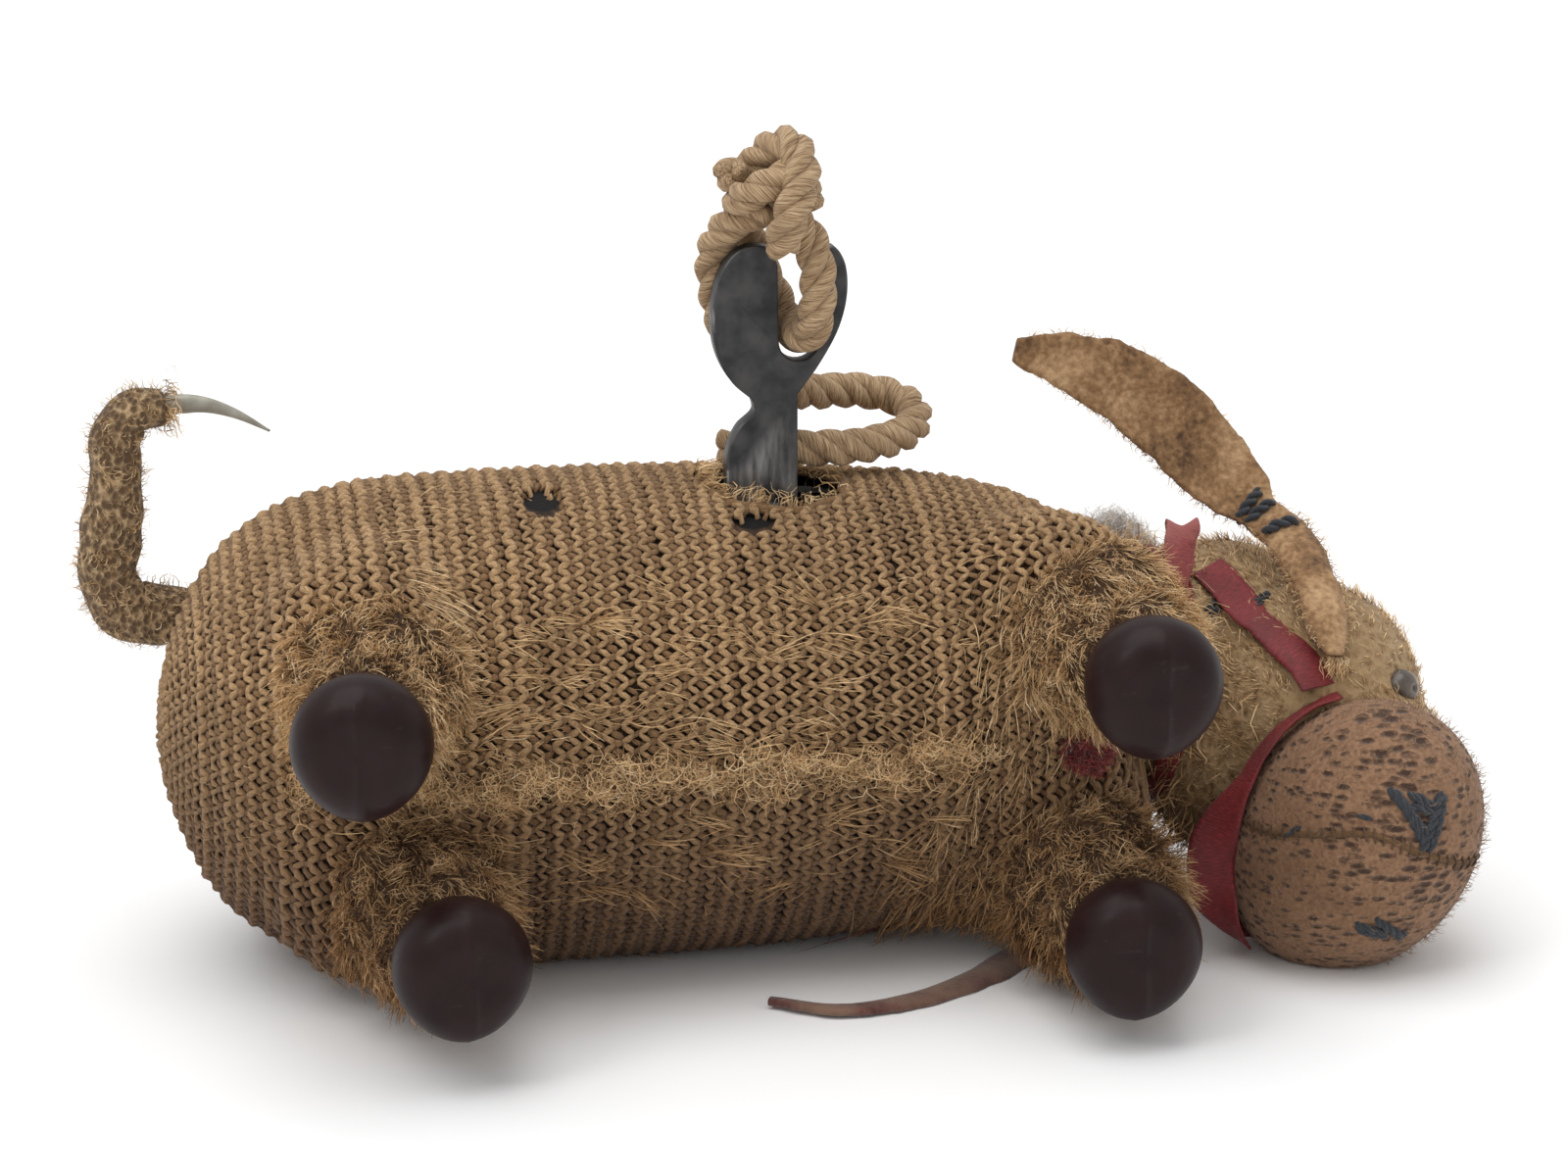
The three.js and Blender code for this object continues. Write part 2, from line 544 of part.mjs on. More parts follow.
// ---- head ----
const NOSE_DIRECTION = [9, -34, -15];
const MUZZLE = { at: [68.9, -18.2, 12.1], radii: [12.6, 15.0, 12.0] };
const headEggs = [
  egg([50, 3.5, 25.4], [11, 12.2, 12.2], [1, 0.2, 0.1], 14, 8),
  egg([62, 6.5, 25.2], [12.4, 11.6, 11.2], NOSE_DIRECTION, 14, 8),
  egg([68.4, -3.6, 21.6], [13.5, 14.2, 11.6], NOSE_DIRECTION, 16, 9),
  egg([61.0, -2.6, 14.8], [9.4, 9.0, 10.0], NOSE_DIRECTION, 12, 7),
];
const muzzleEgg = solid(egg(MUZZLE.at, MUZZLE.radii, NOSE_DIRECTION, 20, 11)).subtract(underFloor);
const muzzleEnvelope = solid(egg(MUZZLE.at, MUZZLE.radii.map((r) => r + GAP), NOSE_DIRECTION, 20, 11));
const EYES = { right: [75.2, -13.2, 26.0], left: [79.6, -3.8, 13.8] };
const EYE_R = 1.9;
const ball = (at, radius) => egg(at, [radius, radius, radius], [1, 0, 0], 10, 7);
const eyeRoom = join(...Object.values(EYES).map((at) => solid(ball(at, EYE_R + GAP))));
const wholeHead = join(...headEggs.map(solid)).subtract(join(bodyEnvelope, muzzleEnvelope, eyeRoom));
const headForm = new THREE.Mesh(toGeometry(wholeHead));
const muzzleForm = new THREE.Mesh(toGeometry(muzzleEgg));
for (const [side, at] of Object.entries(EYES)) addMesh(`${side}_eye`, ball(at, EYE_R), BEAD);

// The surface of the head or muzzle under a guide point, a little outside it, seen from an inner point.
const HEAD_HEART = new THREE.Vector3(62, 2, 23);
function hug(guide, lift, heart = HEAD_HEART) {
  const out = new THREE.Vector3(...guide).sub(heart).normalize();
  const caster = new THREE.Raycaster(heart.clone().addScaledVector(out, 60), out.clone().negate());
  const hits = caster.intersectObjects([headForm, muzzleForm], false);
  return hits[0].point.addScaledVector(out, lift).toArray();
}
const away = (at, heart = HEAD_HEART) => new THREE.Vector3(...at).sub(heart).normalize();

// A ribbon laid over the head through guide points: its face always looks away from the heart.
const RIBBON_T = 0.35;
function ribbon(guides, steps, width) {
  const curve = new THREE.CatmullRomCurve3(guides.map((p) => new THREE.Vector3(...p)), false, 'centripetal');
  const guide = (i) => curve.getPointAt(i / steps).toArray();
  const laid = Array.from({ length: steps + 1 }, (_, i) => hug(guide(i), GAP + 0.3));
  return laid.map((at, i) => {
    const run = new THREE.Vector3(...laid[Math.min(i + 1, steps)]);
    run.sub(new THREE.Vector3(...laid[Math.max(i - 1, 0)]));
    return { at, side: run.cross(away(at)).toArray(), wide: width, thick: RIBBON_T };
  });
}
// A ribbon round the head or neck, from one part of a turn to another, counted from the start.
function band(heart, axis, start, steps, width, lift, from, to) {
  const middle = new THREE.Vector3(...heart);
  const turnAxis = new THREE.Vector3(...axis).normalize();
  const first = new THREE.Vector3(...start);
  first.addScaledVector(turnAxis, -first.dot(turnAxis)).normalize();
  return Array.from({ length: steps + 1 }, (_, i) => {
    const out = first.clone().applyAxisAngle(turnAxis, (from + (to - from) * i / steps) * 2 * Math.PI);
    const at = hug(middle.clone().add(out).toArray(), lift, middle);
    return { at, side: turnAxis.toArray(), wide: width, thick: RIBBON_T };
  });
}
// The room that a swept piece takes up, with the gap all round it.
function roomFor(stations) {
  const grown = stations.map((s) => ({ ...s, wide: s.wide + 2 * GAP, thick: s.thick + 2 * GAP }));
  return solid(sweep(grown, FLAT));
}
// Only the largest body is kept, so that no sliver is left beside a cut.
function largest(manifold) {
  return manifold.decompose().sort((a, b) => b.volume() - a.volume())[0];
}

// Halter: a noseband, a strap up each cheek, a collar round the throat and its bow.
const BOW = [
  [53.2, -5.6, 36.0], [51.9, -6.2, 38.6], [52.4, -6.4, 41.2], [54.3, -6.0, 41.9], [55.5, -5.4, 39.6],
  [54.8, -5.0, 36.8],
];
const RIGHT_CHEEK = [[65.0, -12.6, 28.6], [63.3, -9.6, 30.4], [61.5, -4.5, 32.2], [59.4, 0.6, 34.4]];
const LEFT_CHEEK = [[60.4, -9.0, 8.6], [59.6, -5.0, 7.6], [58.6, -0.4, 7.6], [57.4, 3.4, 9.6]];
const HALTER = {
  noseband: band([65.6, -16.4, 13.4], [0.145, -0.99, 0.044], [0.2, 0, -1], 16, 3.0, GAP + 0.6, 0.44, 0.88),
  collar: band([52.3, 4.2, 23.5], [1, 0.05, -0.12], [0, 0.3, -1], 18, 3.0, GAP + 0.4, 0.03, 0.97),
  right_cheek_strap: ribbon(RIGHT_CHEEK, 7, 3.4),
  left_cheek_strap: ribbon(LEFT_CHEEK, 7, 3.0),
};
for (const [name, stations] of Object.entries(HALTER)) {
  addMesh(name, toGeometry(solid(sweep(stations, FLAT)).subtract(underFloor)), RIBBON);
}
addMesh('halter_bow', sweep(along(BOW, 10, () => [0.2, 1, 0.1], () => 3.4, () => RIBBON_T), FLAT), RIBBON);

// Ears: long felt leaves. The right one is stitched at its root and stands up, with a flap turned
// down over the temple. The left one is pinned under the head and lies along the surface.
const EAR_RIGHT = [
  [67.4, -14.6, 30.2], [67.5, -11.2, 34.0], [67.2, -6.4, 37.0], [66.2, -0.6, 39.6], [64.0, 4.8, 41.2],
  [60.9, 7.4, 44.6], [56.2, 8.0, 49.6], [50.8, 8.0, 54.0], [45.0, 8.2, 56.7], [39.2, 8.4, 58.1],
];
const EAR_ROOT = 0.36;           // where the flap ends and the leaf starts
const EAR_TAPER = 0.9;
function rightEarWidth(t) {
  const flap = 3.6 + 2.4 * t;
  const rise = THREE.MathUtils.clamp((t - EAR_ROOT) / (EAR_TAPER - EAR_ROOT), 0, 1);
  return Math.max(flap + 3.4 * Math.sin(Math.PI * rise) - 36 * Math.max(t - EAR_TAPER, 0), 1.0);
}
const earSide = (t) => [0.8, 0.45 - 0.4 * t, 0.3 + 0.4 * t];
const earStations = along(EAR_RIGHT, 16, earSide, rightEarWidth, () => 0.8);
addMesh('right_ear', sweep(earStations, FLAT), FELT);
const EAR_LEFT = [
  [52.5, -9.5, 2.2], [46, -11.5, 1.0], [36.3, -14.5, 0.75], [29.5, -21.0, 0.75], [21.5, -26.5, 0.75],
  [14, -28.2, 0.75], [7.6, -24.8, 0.75],
];
addMesh('left_ear', sweep(along(EAR_LEFT, 12, (t) => [0.35 + 0.2 * t, 0.9, 0],
  (t) => Math.max(5.6 - 4.6 * t * t, 0.9), () => 0.9), FLAT), FELT_DARK);

// The plush gives way under the halter and the ear.
const pressed = join(...Object.values(HALTER).map(roomFor), roomFor(earStations), underFloor);
const headSolid = largest(wholeHead.subtract(pressed));
addMesh('head_cover', toGeometry(headSolid), PLUSH);
addMesh('muzzle', toGeometry(largest(muzzleEgg.subtract(pressed))), KNIT_MUZZLE);

// Tufts: the mane's wool on the crest of the neck, and a red tuft on the chest.
const HEAD_MIDDLE = [56, 5, 25];
const headRoom = solid(toGeometry(headSolid).translate(...HEAD_MIDDLE.map((v) => -v)).scale(1.03, 1.03, 1.03)
  .translate(...HEAD_MIDDLE));
const maneEgg = solid(egg([51.5, 17.0, 32.5], [6.0, 3.0, 4.6], [1, 0, 0], 12, 8));
addMesh('mane_tuft', toGeometry(largest(
  maneEgg.subtract(bodyEnvelope).subtract(headRoom).subtract(roomFor(HALTER.collar)))), WOOL);
const chestEgg = solid(egg([40.6, -19.6, 23.6], [2.2, 1.6, 2.0], [1, 0, 0], 10, 7));
addMesh('chest_tuft', toGeometry(chestEgg.subtract(bodyEnvelope)), RIBBON);

// ---- tail ----
const TAIL = [
  [-44.4, 9.0, 32.6], [-48.6, 8.4, 33.8], [-52.6, 8, 34.6], [-54.4, 8, 37.4], [-54.0, 8, 43], [-53.3, 8, 48],
  [-53.2, 8, 52.2], [-51.6, 8, 54.9], [-48.0, 8, 55.6],
];
const tailSide = () => [0, 1, 0];
const TAIL_WIRE_R = 0.8;
const tailThick = (t) => 5.9 + 1.1 * Math.sin(Math.PI * t) - 2.0 * t;
const tailTube = solid(sweep(along(TAIL, 14, tailSide, (t) => 5.4 - 1.4 * t, tailThick), roundSection(8)));
const wireRoom = solid(sweep(along([[-40, 9.4, 31.6], ...TAIL, [-45.5, 8, 55.9]], 18, tailSide,
  () => 2 * (TAIL_WIRE_R + GAP), () => 2 * (TAIL_WIRE_R + GAP)), roundSection(6)));
addMesh('tail_cover', toGeometry(tailTube.subtract(wireRoom).subtract(bodyEnvelope)), PLUSH);
const TAIL_WIRE = [...TAIL, [-44.6, 8, 55.6], [-41.4, 8, 54.6], [-37.8, 8, 52.6]];
const wireWidth = (t) => 2 * TAIL_WIRE_R * (t < 0.8 ? 1 : 1 - 0.85 * (t - 0.8) / 0.2);
const wireRod = solid(sweep(along(TAIL_WIRE, 22, tailSide, wireWidth, wireWidth), roundSection(6)));
addMesh('tail_wire', toGeometry(wireRod.subtract(bodyEnvelope)), STEEL);

// ---- winding key ----
const KEY_T = 2.4;
const KEY_BASE_Z = MID_Z + 20.3;
function keyOutline() {
  const flat = (points) => points.map(([x, z]) => new THREE.Vector2(x, z));
  const shape = new THREE.Shape();
  shape.moveTo(3.4, KEY_BASE_Z);
  shape.lineTo(3.4, 57.2);
  shape.splineThru(flat([[5.6, 60.2], [7.6, 63.9], [8.4, 67.4], [8.1, 70.5], [7.0, 72.0], [5.8, 71.6]]));
  shape.lineTo(5.5, 62.9);
  shape.absarc(3.5, 62.6, 2.0, 0, -Math.PI, true);
  shape.lineTo(1.4, 70.2);
  shape.splineThru(flat([
    [0.7, 71.9], [-1.0, 72.3], [-2.9, 71.6], [-4.6, 69],
    [-5.2, 64.9], [-4.7, 61.4], [-3.2, 58.6], [-1.2, 56.8],
  ]));
  shape.splineThru(flat([[-1.0, 55.6], [-2.6, 54.0], [-3.6, 51.8], [-3.8, 49.5]]));
  shape.lineTo(-3.8, KEY_BASE_Z);
  shape.closePath();
  return shape;
}
const keyBlade = new THREE.ExtrudeGeometry(keyOutline(), {
  depth: KEY_T - 0.6, bevelEnabled: true, bevelThickness: 0.3, bevelSize: 0.3, bevelOffset: -0.3,
  bevelSegments: 1, curveSegments: 2,
});
keyBlade.rotateX(Math.PI / 2).translate(KEY_X, KEY_Y + (KEY_T - 0.6) / 2, 0);
const keySocket = solid(post(KEY_X, KEY_Y, KEY_FOOT_Z - 3.4, KEY_BASE_Z + 2.2, 2.7, 16));
const arborRoom = solid(post(KEY_X, KEY_Y, KEY_FOOT_Z - 10, KEY_FOOT_Z + 0.2, KEY_ARBOR_R + 0.1, 14));
addMesh('winding_key', toGeometry(solid(keyBlade).add(keySocket).subtract(arborRoom)), IRON);

// ---- twisted cord ----
// One length: a loose end behind the key's foot, a loop beside the key, up behind the bow, through the
// knot, down through the bow's slot and up into the knot again, over its top and down its front.
const CORD_ROUTE = [
  [7.1, 1.0, 50.7], [10.9, 0.5, 50.8], [15.9, -0.9, 50.7], [20.8, -0.4, 50.6],
  [24.9, 1.6, 50.8], [27.6, 4.4, 51.4], [28.1, 7.4, 52.6], [25.9, 9.6, 53.6],
  [21.9, 9.8, 54.2], [17.4, 7.8, 54.6], [13.2, 4.6, 56.0], [9.6, 1.6, 59.1],
  [7.4, -0.2, 63.2], [6.4, -0.6, 67.2], [6.1, -1.2, 71.0], [7.2, -3.4, 74.0],
  [9.4, -5.2, 75.7], [12.1, -5.9, 75.8], [14.2, -6.9, 73.9], [15.3, -7.6, 70.9],
  [15.4, -7.6, 67.0], [15.0, -6.6, 64.0], [14.2, -4.0, 63.0], [13.6, -1.0, 63.9],
  [12.2, 0.0, 66.7], [10.4, 0.4, 70.7], [9.2, 0.2, 74.8], [9.6, -1.4, 78.7],
  [11.4, -3.6, 81.6], [13.1, -6.0, 82.3], [13.7, -8.4, 80.2], [12.8, -9.8, 77.3],
  [11.9, -9.6, 74.6], [11.6, -8.4, 72.6],
];
const KNOT_LOW = 72.9;
const cordSection = roundSection(8);
const cordWidth = () => CORD_D;
function cordPiece(points, steps) {
  return sweep(along(points, steps, () => [0.31, 0.9, 0.3], cordWidth, cordWidth), cordSection);
}
const knotRoom = solid(block([-10, -20, KNOT_LOW - GAP], [40, 20, 100]));
const keyRoom = solid(keyBlade.clone().translate(0, -KEY_Y, 0).scale(1, 1.26, 1).translate(0, KEY_Y, 0));
const cordRoom = join(knotRoom, keyRoom);
const loopCord = solid(cordPiece(CORD_ROUTE.slice(0, 16), 22));
const slotCord = solid(cordPiece(CORD_ROUTE.slice(18, 27), 12));
addMesh('key_cord_loop', toGeometry(largest(loopCord.subtract(cordRoom))), STRING);
addMesh('key_cord_slot', toGeometry(largest(slotCord.subtract(cordRoom))), STRING);
addMesh('key_cord_knot', egg([11.2, -4.6, 78.8], [5.4, 5.4, 5.0], [0.3, 0, 1], 12, 8), STRING);

export default toy;
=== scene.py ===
import math

import bpy
import numpy as np
from mathutils import Matrix, Vector


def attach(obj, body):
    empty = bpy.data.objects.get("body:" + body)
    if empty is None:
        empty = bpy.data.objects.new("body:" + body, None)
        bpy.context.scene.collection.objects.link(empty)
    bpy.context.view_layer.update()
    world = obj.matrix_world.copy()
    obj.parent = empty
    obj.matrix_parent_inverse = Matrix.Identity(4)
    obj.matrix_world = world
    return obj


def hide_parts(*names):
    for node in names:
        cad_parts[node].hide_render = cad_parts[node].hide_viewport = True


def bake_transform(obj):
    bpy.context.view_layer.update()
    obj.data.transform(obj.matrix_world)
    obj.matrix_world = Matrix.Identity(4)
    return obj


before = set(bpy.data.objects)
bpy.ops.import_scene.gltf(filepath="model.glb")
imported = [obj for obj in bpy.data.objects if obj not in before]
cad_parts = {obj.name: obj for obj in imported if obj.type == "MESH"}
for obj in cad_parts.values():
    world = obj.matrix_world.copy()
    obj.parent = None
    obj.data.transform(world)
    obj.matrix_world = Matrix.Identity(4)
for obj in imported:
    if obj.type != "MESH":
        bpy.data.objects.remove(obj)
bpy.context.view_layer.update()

# ---- camera ----
# The toy is seen from a little above its belly, through a long lens, with the whole toy
# in view. Lengths are the toy's drawing lengths in millimetres until at() places them.
DRAWN_SHIFT = np.array([-12.1, 10.2, 0.0])


def at(points):
    return (np.asarray(points, float) + DRAWN_SHIFT) / 1000.0


camera = bpy.data.objects.new("camera", bpy.data.cameras.new("camera"))
bpy.context.scene.collection.objects.link(camera)
camera.data.lens = 92
camera.data.sensor_width = 36
camera.data.clip_start = 0.01
camera.location = Vector(at([-55.2, -389.2, 141.8]))
aim = Vector(at([13.54, 0.80, 35.72]))
camera.rotation_euler = (aim - camera.location).to_track_quat("-Z", "Y").to_euler()
bpy.context.scene.camera = camera


# ---- twisted string ----
# Three plied cotton strands. One length: a loose end behind the key's foot, a loop over
# the flank, up behind the bow, through the slot and round itself in a knot on top.
class Value:
    """A number on a shader socket, so that sums can be written as sums."""

    def __init__(self, finish, socket):
        self.finish = finish
        self.socket = socket

    def work(self, operation, first, second=0.0):
        return self.finish.node("ShaderNodeMath", {"operation": operation}, {0: first, 1: second})

    def __add__(self, other):
        return self.work("ADD", self, other)

    def __radd__(self, other):
        return self.work("ADD", other, self)

    def __sub__(self, other):
        return self.work("SUBTRACT", self, other)

    def __rsub__(self, other):
        return self.work("SUBTRACT", other, self)

    def __mul__(self, other):
        return self.work("MULTIPLY", self, other)

    def __rmul__(self, other):
        return self.work("MULTIPLY", other, self)

    def __pow__(self, other):
        return self.work("POWER", self, other)

    def clip(self, low, high):
        settings = {"clamp": True}
        return self.finish.node("ShaderNodeMapRange", settings,
                                {0: self, 1: low, 2: high, 3: 0.0, 4: 1.0})


class Finish:
    """One material. Numbers that never change are set on the shader's own sockets."""

    def __init__(self, name, **fixed):
        self.material = bpy.data.materials.new(name)
        self.material.use_nodes = True
        self.tree = self.material.node_tree
        self.shader = self.tree.nodes["Principled BSDF"]
        for socket, value in fixed.items():
            self.shader.inputs[socket.replace("_", " ")].default_value = value
        self.place = self.node("ShaderNodeTexCoord", {}, {}, "Object")

    def node(self, kind, settings, sockets, out=0):
        made = self.tree.nodes.new(kind)
        for key, value in settings.items():
            if key == "stops":
                ramp = made.color_ramp
                for i, (place, colour) in enumerate(value):
                    stop = ramp.elements[i] if i < 2 else ramp.elements.new(place)
                    stop.position = place
                    stop.color = (*colour, 1)
            else:
                setattr(made, key, value)
        for key, value in sockets.items():
            if isinstance(value, Value):
                self.tree.links.new(value.socket, made.inputs[key])
            else:
                made.inputs[key].default_value = value
        return Value(self, made.outputs[out])

    def attribute(self, name, out="Fac"):
        return self.node("ShaderNodeAttribute", {"attribute_name": name}, {}, out)

    def noise(self, per_metre, detail=3.0, where=None):
        sockets = {"Vector": where or self.place, "Scale": per_metre, "Detail": detail}
        return self.node("ShaderNodeTexNoise", {}, sockets, 0)

    def stretched(self, scale, where=None):
        sockets = {"Vector": where or self.place, "Scale": scale}
        return self.node("ShaderNodeMapping", {}, sockets)

    def ramp(self, value, *stops):
        return self.node("ShaderNodeValToRGB", {"stops": stops}, {0: value})

    def mix(self, mask, first, second, how="MIX"):
        settings = {"data_type": "RGBA", "blend_type": how}
        first = first if isinstance(first, Value) else (*first, 1)
        second = second if isinstance(second, Value) else (*second, 1)
        return self.node("ShaderNodeMix", settings, {0: mask, 6: first, 7: second}, 2)

    def surface(self, colour, roughness=None, height=None, depth=0.0003):
        self.tree.links.new(colour.socket, self.shader.inputs["Base Color"])
        if roughness is not None:
            self.tree.links.new(roughness.socket, self.shader.inputs["Roughness"])
        if height is not None:
            bump = self.node("ShaderNodeBump", {}, {"Height": height, "Distance": depth})
            self.tree.links.new(bump.socket, self.shader.inputs["Normal"])
        return self.material


def smooth_line(points, steps):
    """A smooth centripetal curve through the points, with so many steps between two of them."""
    p = np.asarray(points, float)
    p = np.vstack([2 * p[0] - p[1], p, 2 * p[-1] - p[-2]])
    line = []
    for i in range(1, len(p) - 2):
        a, b, c, d = p[i - 1:i + 3]
        k1, k2, k3 = (np.linalg.norm(v) ** 0.5 for v in (b - a, c - b, d - c))
        out = (b - a) / k1 - (c - a) / (k1 + k2) + (c - b) / k2
        back = (c - b) / k2 - (d - b) / (k2 + k3) + (d - c) / k3
        out, back = out * k2, back * k2
        for t in np.arange(steps) / steps:
            line.append((2 * t ** 3 - 3 * t * t + 1) * b + (t ** 3 - 2 * t * t + t) * out
                        + (3 * t * t - 2 * t ** 3) * c + (t ** 3 - t * t) * back)
    line.append(p[-2])
    return np.array(line)


def evenly(line, gap):
    """The same line with its points a fixed gap apart."""
    run = np.concatenate([[0], np.cumsum(np.linalg.norm(np.diff(line, axis=0), axis=1))])
    places = np.linspace(0, run[-1], max(int(run[-1] / gap), 2) + 1)
    return np.stack([np.interp(places, run, line[:, i]) for i in range(3)], axis=1)


def frames_along(line, first_side=(0, 0, 1)):
    """Directions along, beside and above each point, carried along without twist."""
    ahead = np.gradient(line, axis=0)
    ahead /= np.linalg.norm(ahead, axis=1)[:, None]
    side = np.asarray(first_side, float)
    sides = []
    for direction in ahead:
        side = side - direction * side.dot(direction)
        side = side / np.linalg.norm(side)
        sides.append(side)
    sides = np.array(sides)
    return ahead, sides, np.cross(ahead, sides)


def unit(v):
    return v / np.maximum(np.linalg.norm(v, axis=-1, keepdims=True), 1e-12)


def ring_walls(rings, spokes):
    """The four-sided faces between one ring of points and the next, all the way along."""
    i, j = np.meshgrid(np.arange(rings - 1), np.arange(spokes), indexing="ij")
    a, b = i * spokes + j, i * spokes + (j + 1) % spokes
    return np.stack([a, b, b + spokes, a + spokes], axis=2).reshape(-1, 4).tolist()


def closed_walls(rings, spokes):
    """The same, with the first and last ring closed by a face."""
    ends = [list(range(spokes))[::-1], [(rings - 1) * spokes + k for k in range(spokes)]]
    return ring_walls(rings, spokes) + ends


def tube(line, radius, sides=8, lay=0.0, first_side=(0, 0, 1)):
    """Points and faces of a round closed tube, with the direction of its fibres."""
    ahead, side, up = frames_along(line, first_side)
    radius = np.broadcast_to(radius, len(line))
    angle = 2 * np.pi * np.arange(sides) / sides
    ring = np.cos(angle)[None, :, None] * side[:, None] + np.sin(angle)[None, :, None] * up[:, None]
    points = (line[:, None] + radius[:, None, None] * ring).reshape(-1, 3)
    run = np.concatenate([[0], np.cumsum(np.linalg.norm(np.diff(line, axis=0), axis=1))])
    turned = angle[None, :] + lay * run[:, None]
    grain = np.stack([np.cos(turned), np.sin(turned), 0.12 * run[:, None] + 0 * turned], axis=2)
    return points, closed_walls(len(line), sides), grain.reshape(-1, 3)


def gathered(parts):
    """Several sets of points, faces and fibres as one."""
    points, faces, grains, count = [], [], [], 0
    for part_points, part_faces, part_grain in parts:
        points.append(part_points)
        grains.append(part_grain)
        faces += [[count + k for k in face] for face in part_faces]
        count += len(part_points)
    return np.vstack(points), faces, np.vstack(grains)


def make_piece(name, points, faces, finish, body, stands_for=(), slot=None, marks=None, grain=None):
    """A piece from drawn millimetres, with a finish, that moves with a body."""
    mesh = bpy.data.meshes.new(name)
    mesh.from_pydata(at(points), [], faces)
    mesh.validate()
    piece = bpy.data.objects.new(name, mesh)
    bpy.context.scene.collection.objects.link(piece)
    mesh.polygons.foreach_set("use_smooth", [True] * len(mesh.polygons))
    for key, values in (marks or {}).items():
        mesh.attributes.new(key, "FLOAT",
                            "POINT").data.foreach_set("value", np.asarray(values, np.float32))
    if grain is not None:
        fibres = mesh.attributes.new("grain", "FLOAT_VECTOR", "POINT")
        fibres.data.foreach_set("vector", np.asarray(grain, np.float32).ravel())
    return settle(piece, finish, body, stands_for)


def settle(piece, finish, body, stands_for=()):
    piece.data.materials.clear()
    piece.data.materials.append(finish)
    if body:
        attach(piece, body)
    if stands_for:
        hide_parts(*stands_for)
    return piece


def plied(line, strands, reach, strand_radius, lay, sides=8):
    """Strands twisted round each other along a line."""
    ahead, side, up = frames_along(line)
    run = np.concatenate([[0], np.cumsum(np.linalg.norm(np.diff(line, axis=0), axis=1))])
    parts = []
    for k in range(strands):
        turn = 2 * np.pi * (k / strands + run / lay)
        path = line + reach * (np.cos(turn)[:, None] * side + np.sin(turn)[:, None] * up)
        parts.append(tube(path, strand_radius, sides, -1.6))
    return gathered(parts)


string = Finish("twisted cotton string", Roughness=0.9, Sheen_Weight=0.08, Sheen_Roughness=0.5)
fibre = string.noise(2.6, 3, string.stretched((1.6, 1.6, 3.0), string.attribute("grain", "Vector")))
soil = string.noise(240, 2)
string_colour = string.mix(soil.clip(0.45, 0.75) * 0.45, string.ramp(
    fibre, (0.3, (0.16, 0.082, 0.034)), (0.5, (0.42, 0.28, 0.155)), (0.72, (0.63, 0.465, 0.285))),
    (0.18, 0.10, 0.045))
string.surface(string_colour, height=fibre, depth=0.00022)

STRING_ROUTE = [
    (7.1, 1.0, 50.7), (10.9, 0.5, 50.8), (15.9, -0.9, 50.7), (20.8, -0.4, 50.6),
    (24.9, 1.6, 50.8), (27.6, 4.4, 51.4), (28.1, 7.4, 52.6), (25.9, 9.6, 53.6),
    (21.9, 9.8, 54.2), (17.4, 7.8, 54.6), (13.2, 4.6, 56.0), (9.6, 1.6, 59.1),
    (7.4, -0.2, 63.2), (6.4, -0.6, 67.2), (6.1, -1.2, 71.0), (7.2, -3.4, 74.0),
    (9.4, -5.2, 75.7), (12.1, -5.9, 75.8), (14.2, -6.9, 73.9), (15.3, -7.6, 70.9),
    (15.4, -7.6, 67.0), (15.0, -6.6, 64.0), (14.2, -4.0, 63.0), (13.6, -1.0, 63.9),
    (12.2, 0.0, 66.7), (10.4, 0.4, 70.7), (9.2, 0.2, 74.8), (9.6, -1.4, 78.7),
    (11.4, -3.6, 81.6), (13.1, -6.0, 82.3), (13.7, -8.4, 80.2), (12.8, -9.8, 77.3),
    (11.9, -9.6, 74.6), (11.6, -8.4, 72.6),
]
string_line = evenly(smooth_line(STRING_ROUTE, 10), 0.3)
rope_points, rope_faces, rope_grain = plied(string_line, 3, 0.92, 1.0, 8.5)
key_string = make_piece("key_string", rope_points, rope_faces, string.material, "winding_key",
                        ["key_cord_loop", "key_cord_slot"], "cord", grain=rope_grain)

# The knot is the same string drawn round itself: two short turns over the crossing.
turn_angle = np.linspace(0, 2 * np.pi * 1.55, 60)
turn_heart = np.array([11.0, -4.9, 78.4])
lean_a = unit(np.array([0.92, -0.25, 0.32]))
lean_b = unit(np.cross(np.array([-0.3, 0.2, 0.93]), lean_a))
turns = turn_heart + 3.3 * np.cos(turn_angle)[:, None] * lean_a + 3.0 * np.sin(turn_angle)[:, None] * lean_b
turns = turns + np.outer(np.linspace(-2.3, 2.1, 60), unit(np.array([-0.3, 0.2, 0.93])))
knot_parts = plied(evenly(turns, 0.35), 3, 0.85, 0.95, 8.5)
string_knot = make_piece("string_knot", *knot_parts[:2], string.material, "winding_key",
                         ["key_cord_knot"], "cord", grain=knot_parts[2])

# ---- winding key ----
# Flat forked blade of dark sheet steel, worn bright along its edges, on a short socket
# that is pushed on the square end of the winding arbor.
KEY_X, KEY_Y, KEY_THICK = 10.5, -4.0, 2.4
right_edge = [(3.4, 44.2), (3.4, 50.0), (3.4, 57.2)]
right_lobe = smooth_line([(3.4, 57.2, 0), (5.6, 60.2, 0), (7.6, 63.9, 0), (8.4, 67.4, 0),
                          (8.1, 70.5, 0),
                          (7.0, 72.0, 0), (5.8, 71.6, 0)], 6)[1:, :2]
slot_foot = [(3.5 + 2.0 * math.cos(a), 62.6 + 2.0 * math.sin(a)) for a in np.linspace(0, -math.pi, 14)]
left_lobe = smooth_line([(1.4, 70.2, 0), (0.7, 71.9, 0), (-1.0, 72.3, 0), (-2.9, 71.6, 0),
                         (-4.6, 69.0, 0),
                         (-5.2, 64.9, 0), (-4.7, 61.4, 0), (-3.2, 58.6, 0), (-1.2, 56.8, 0)], 6)[:, :2]
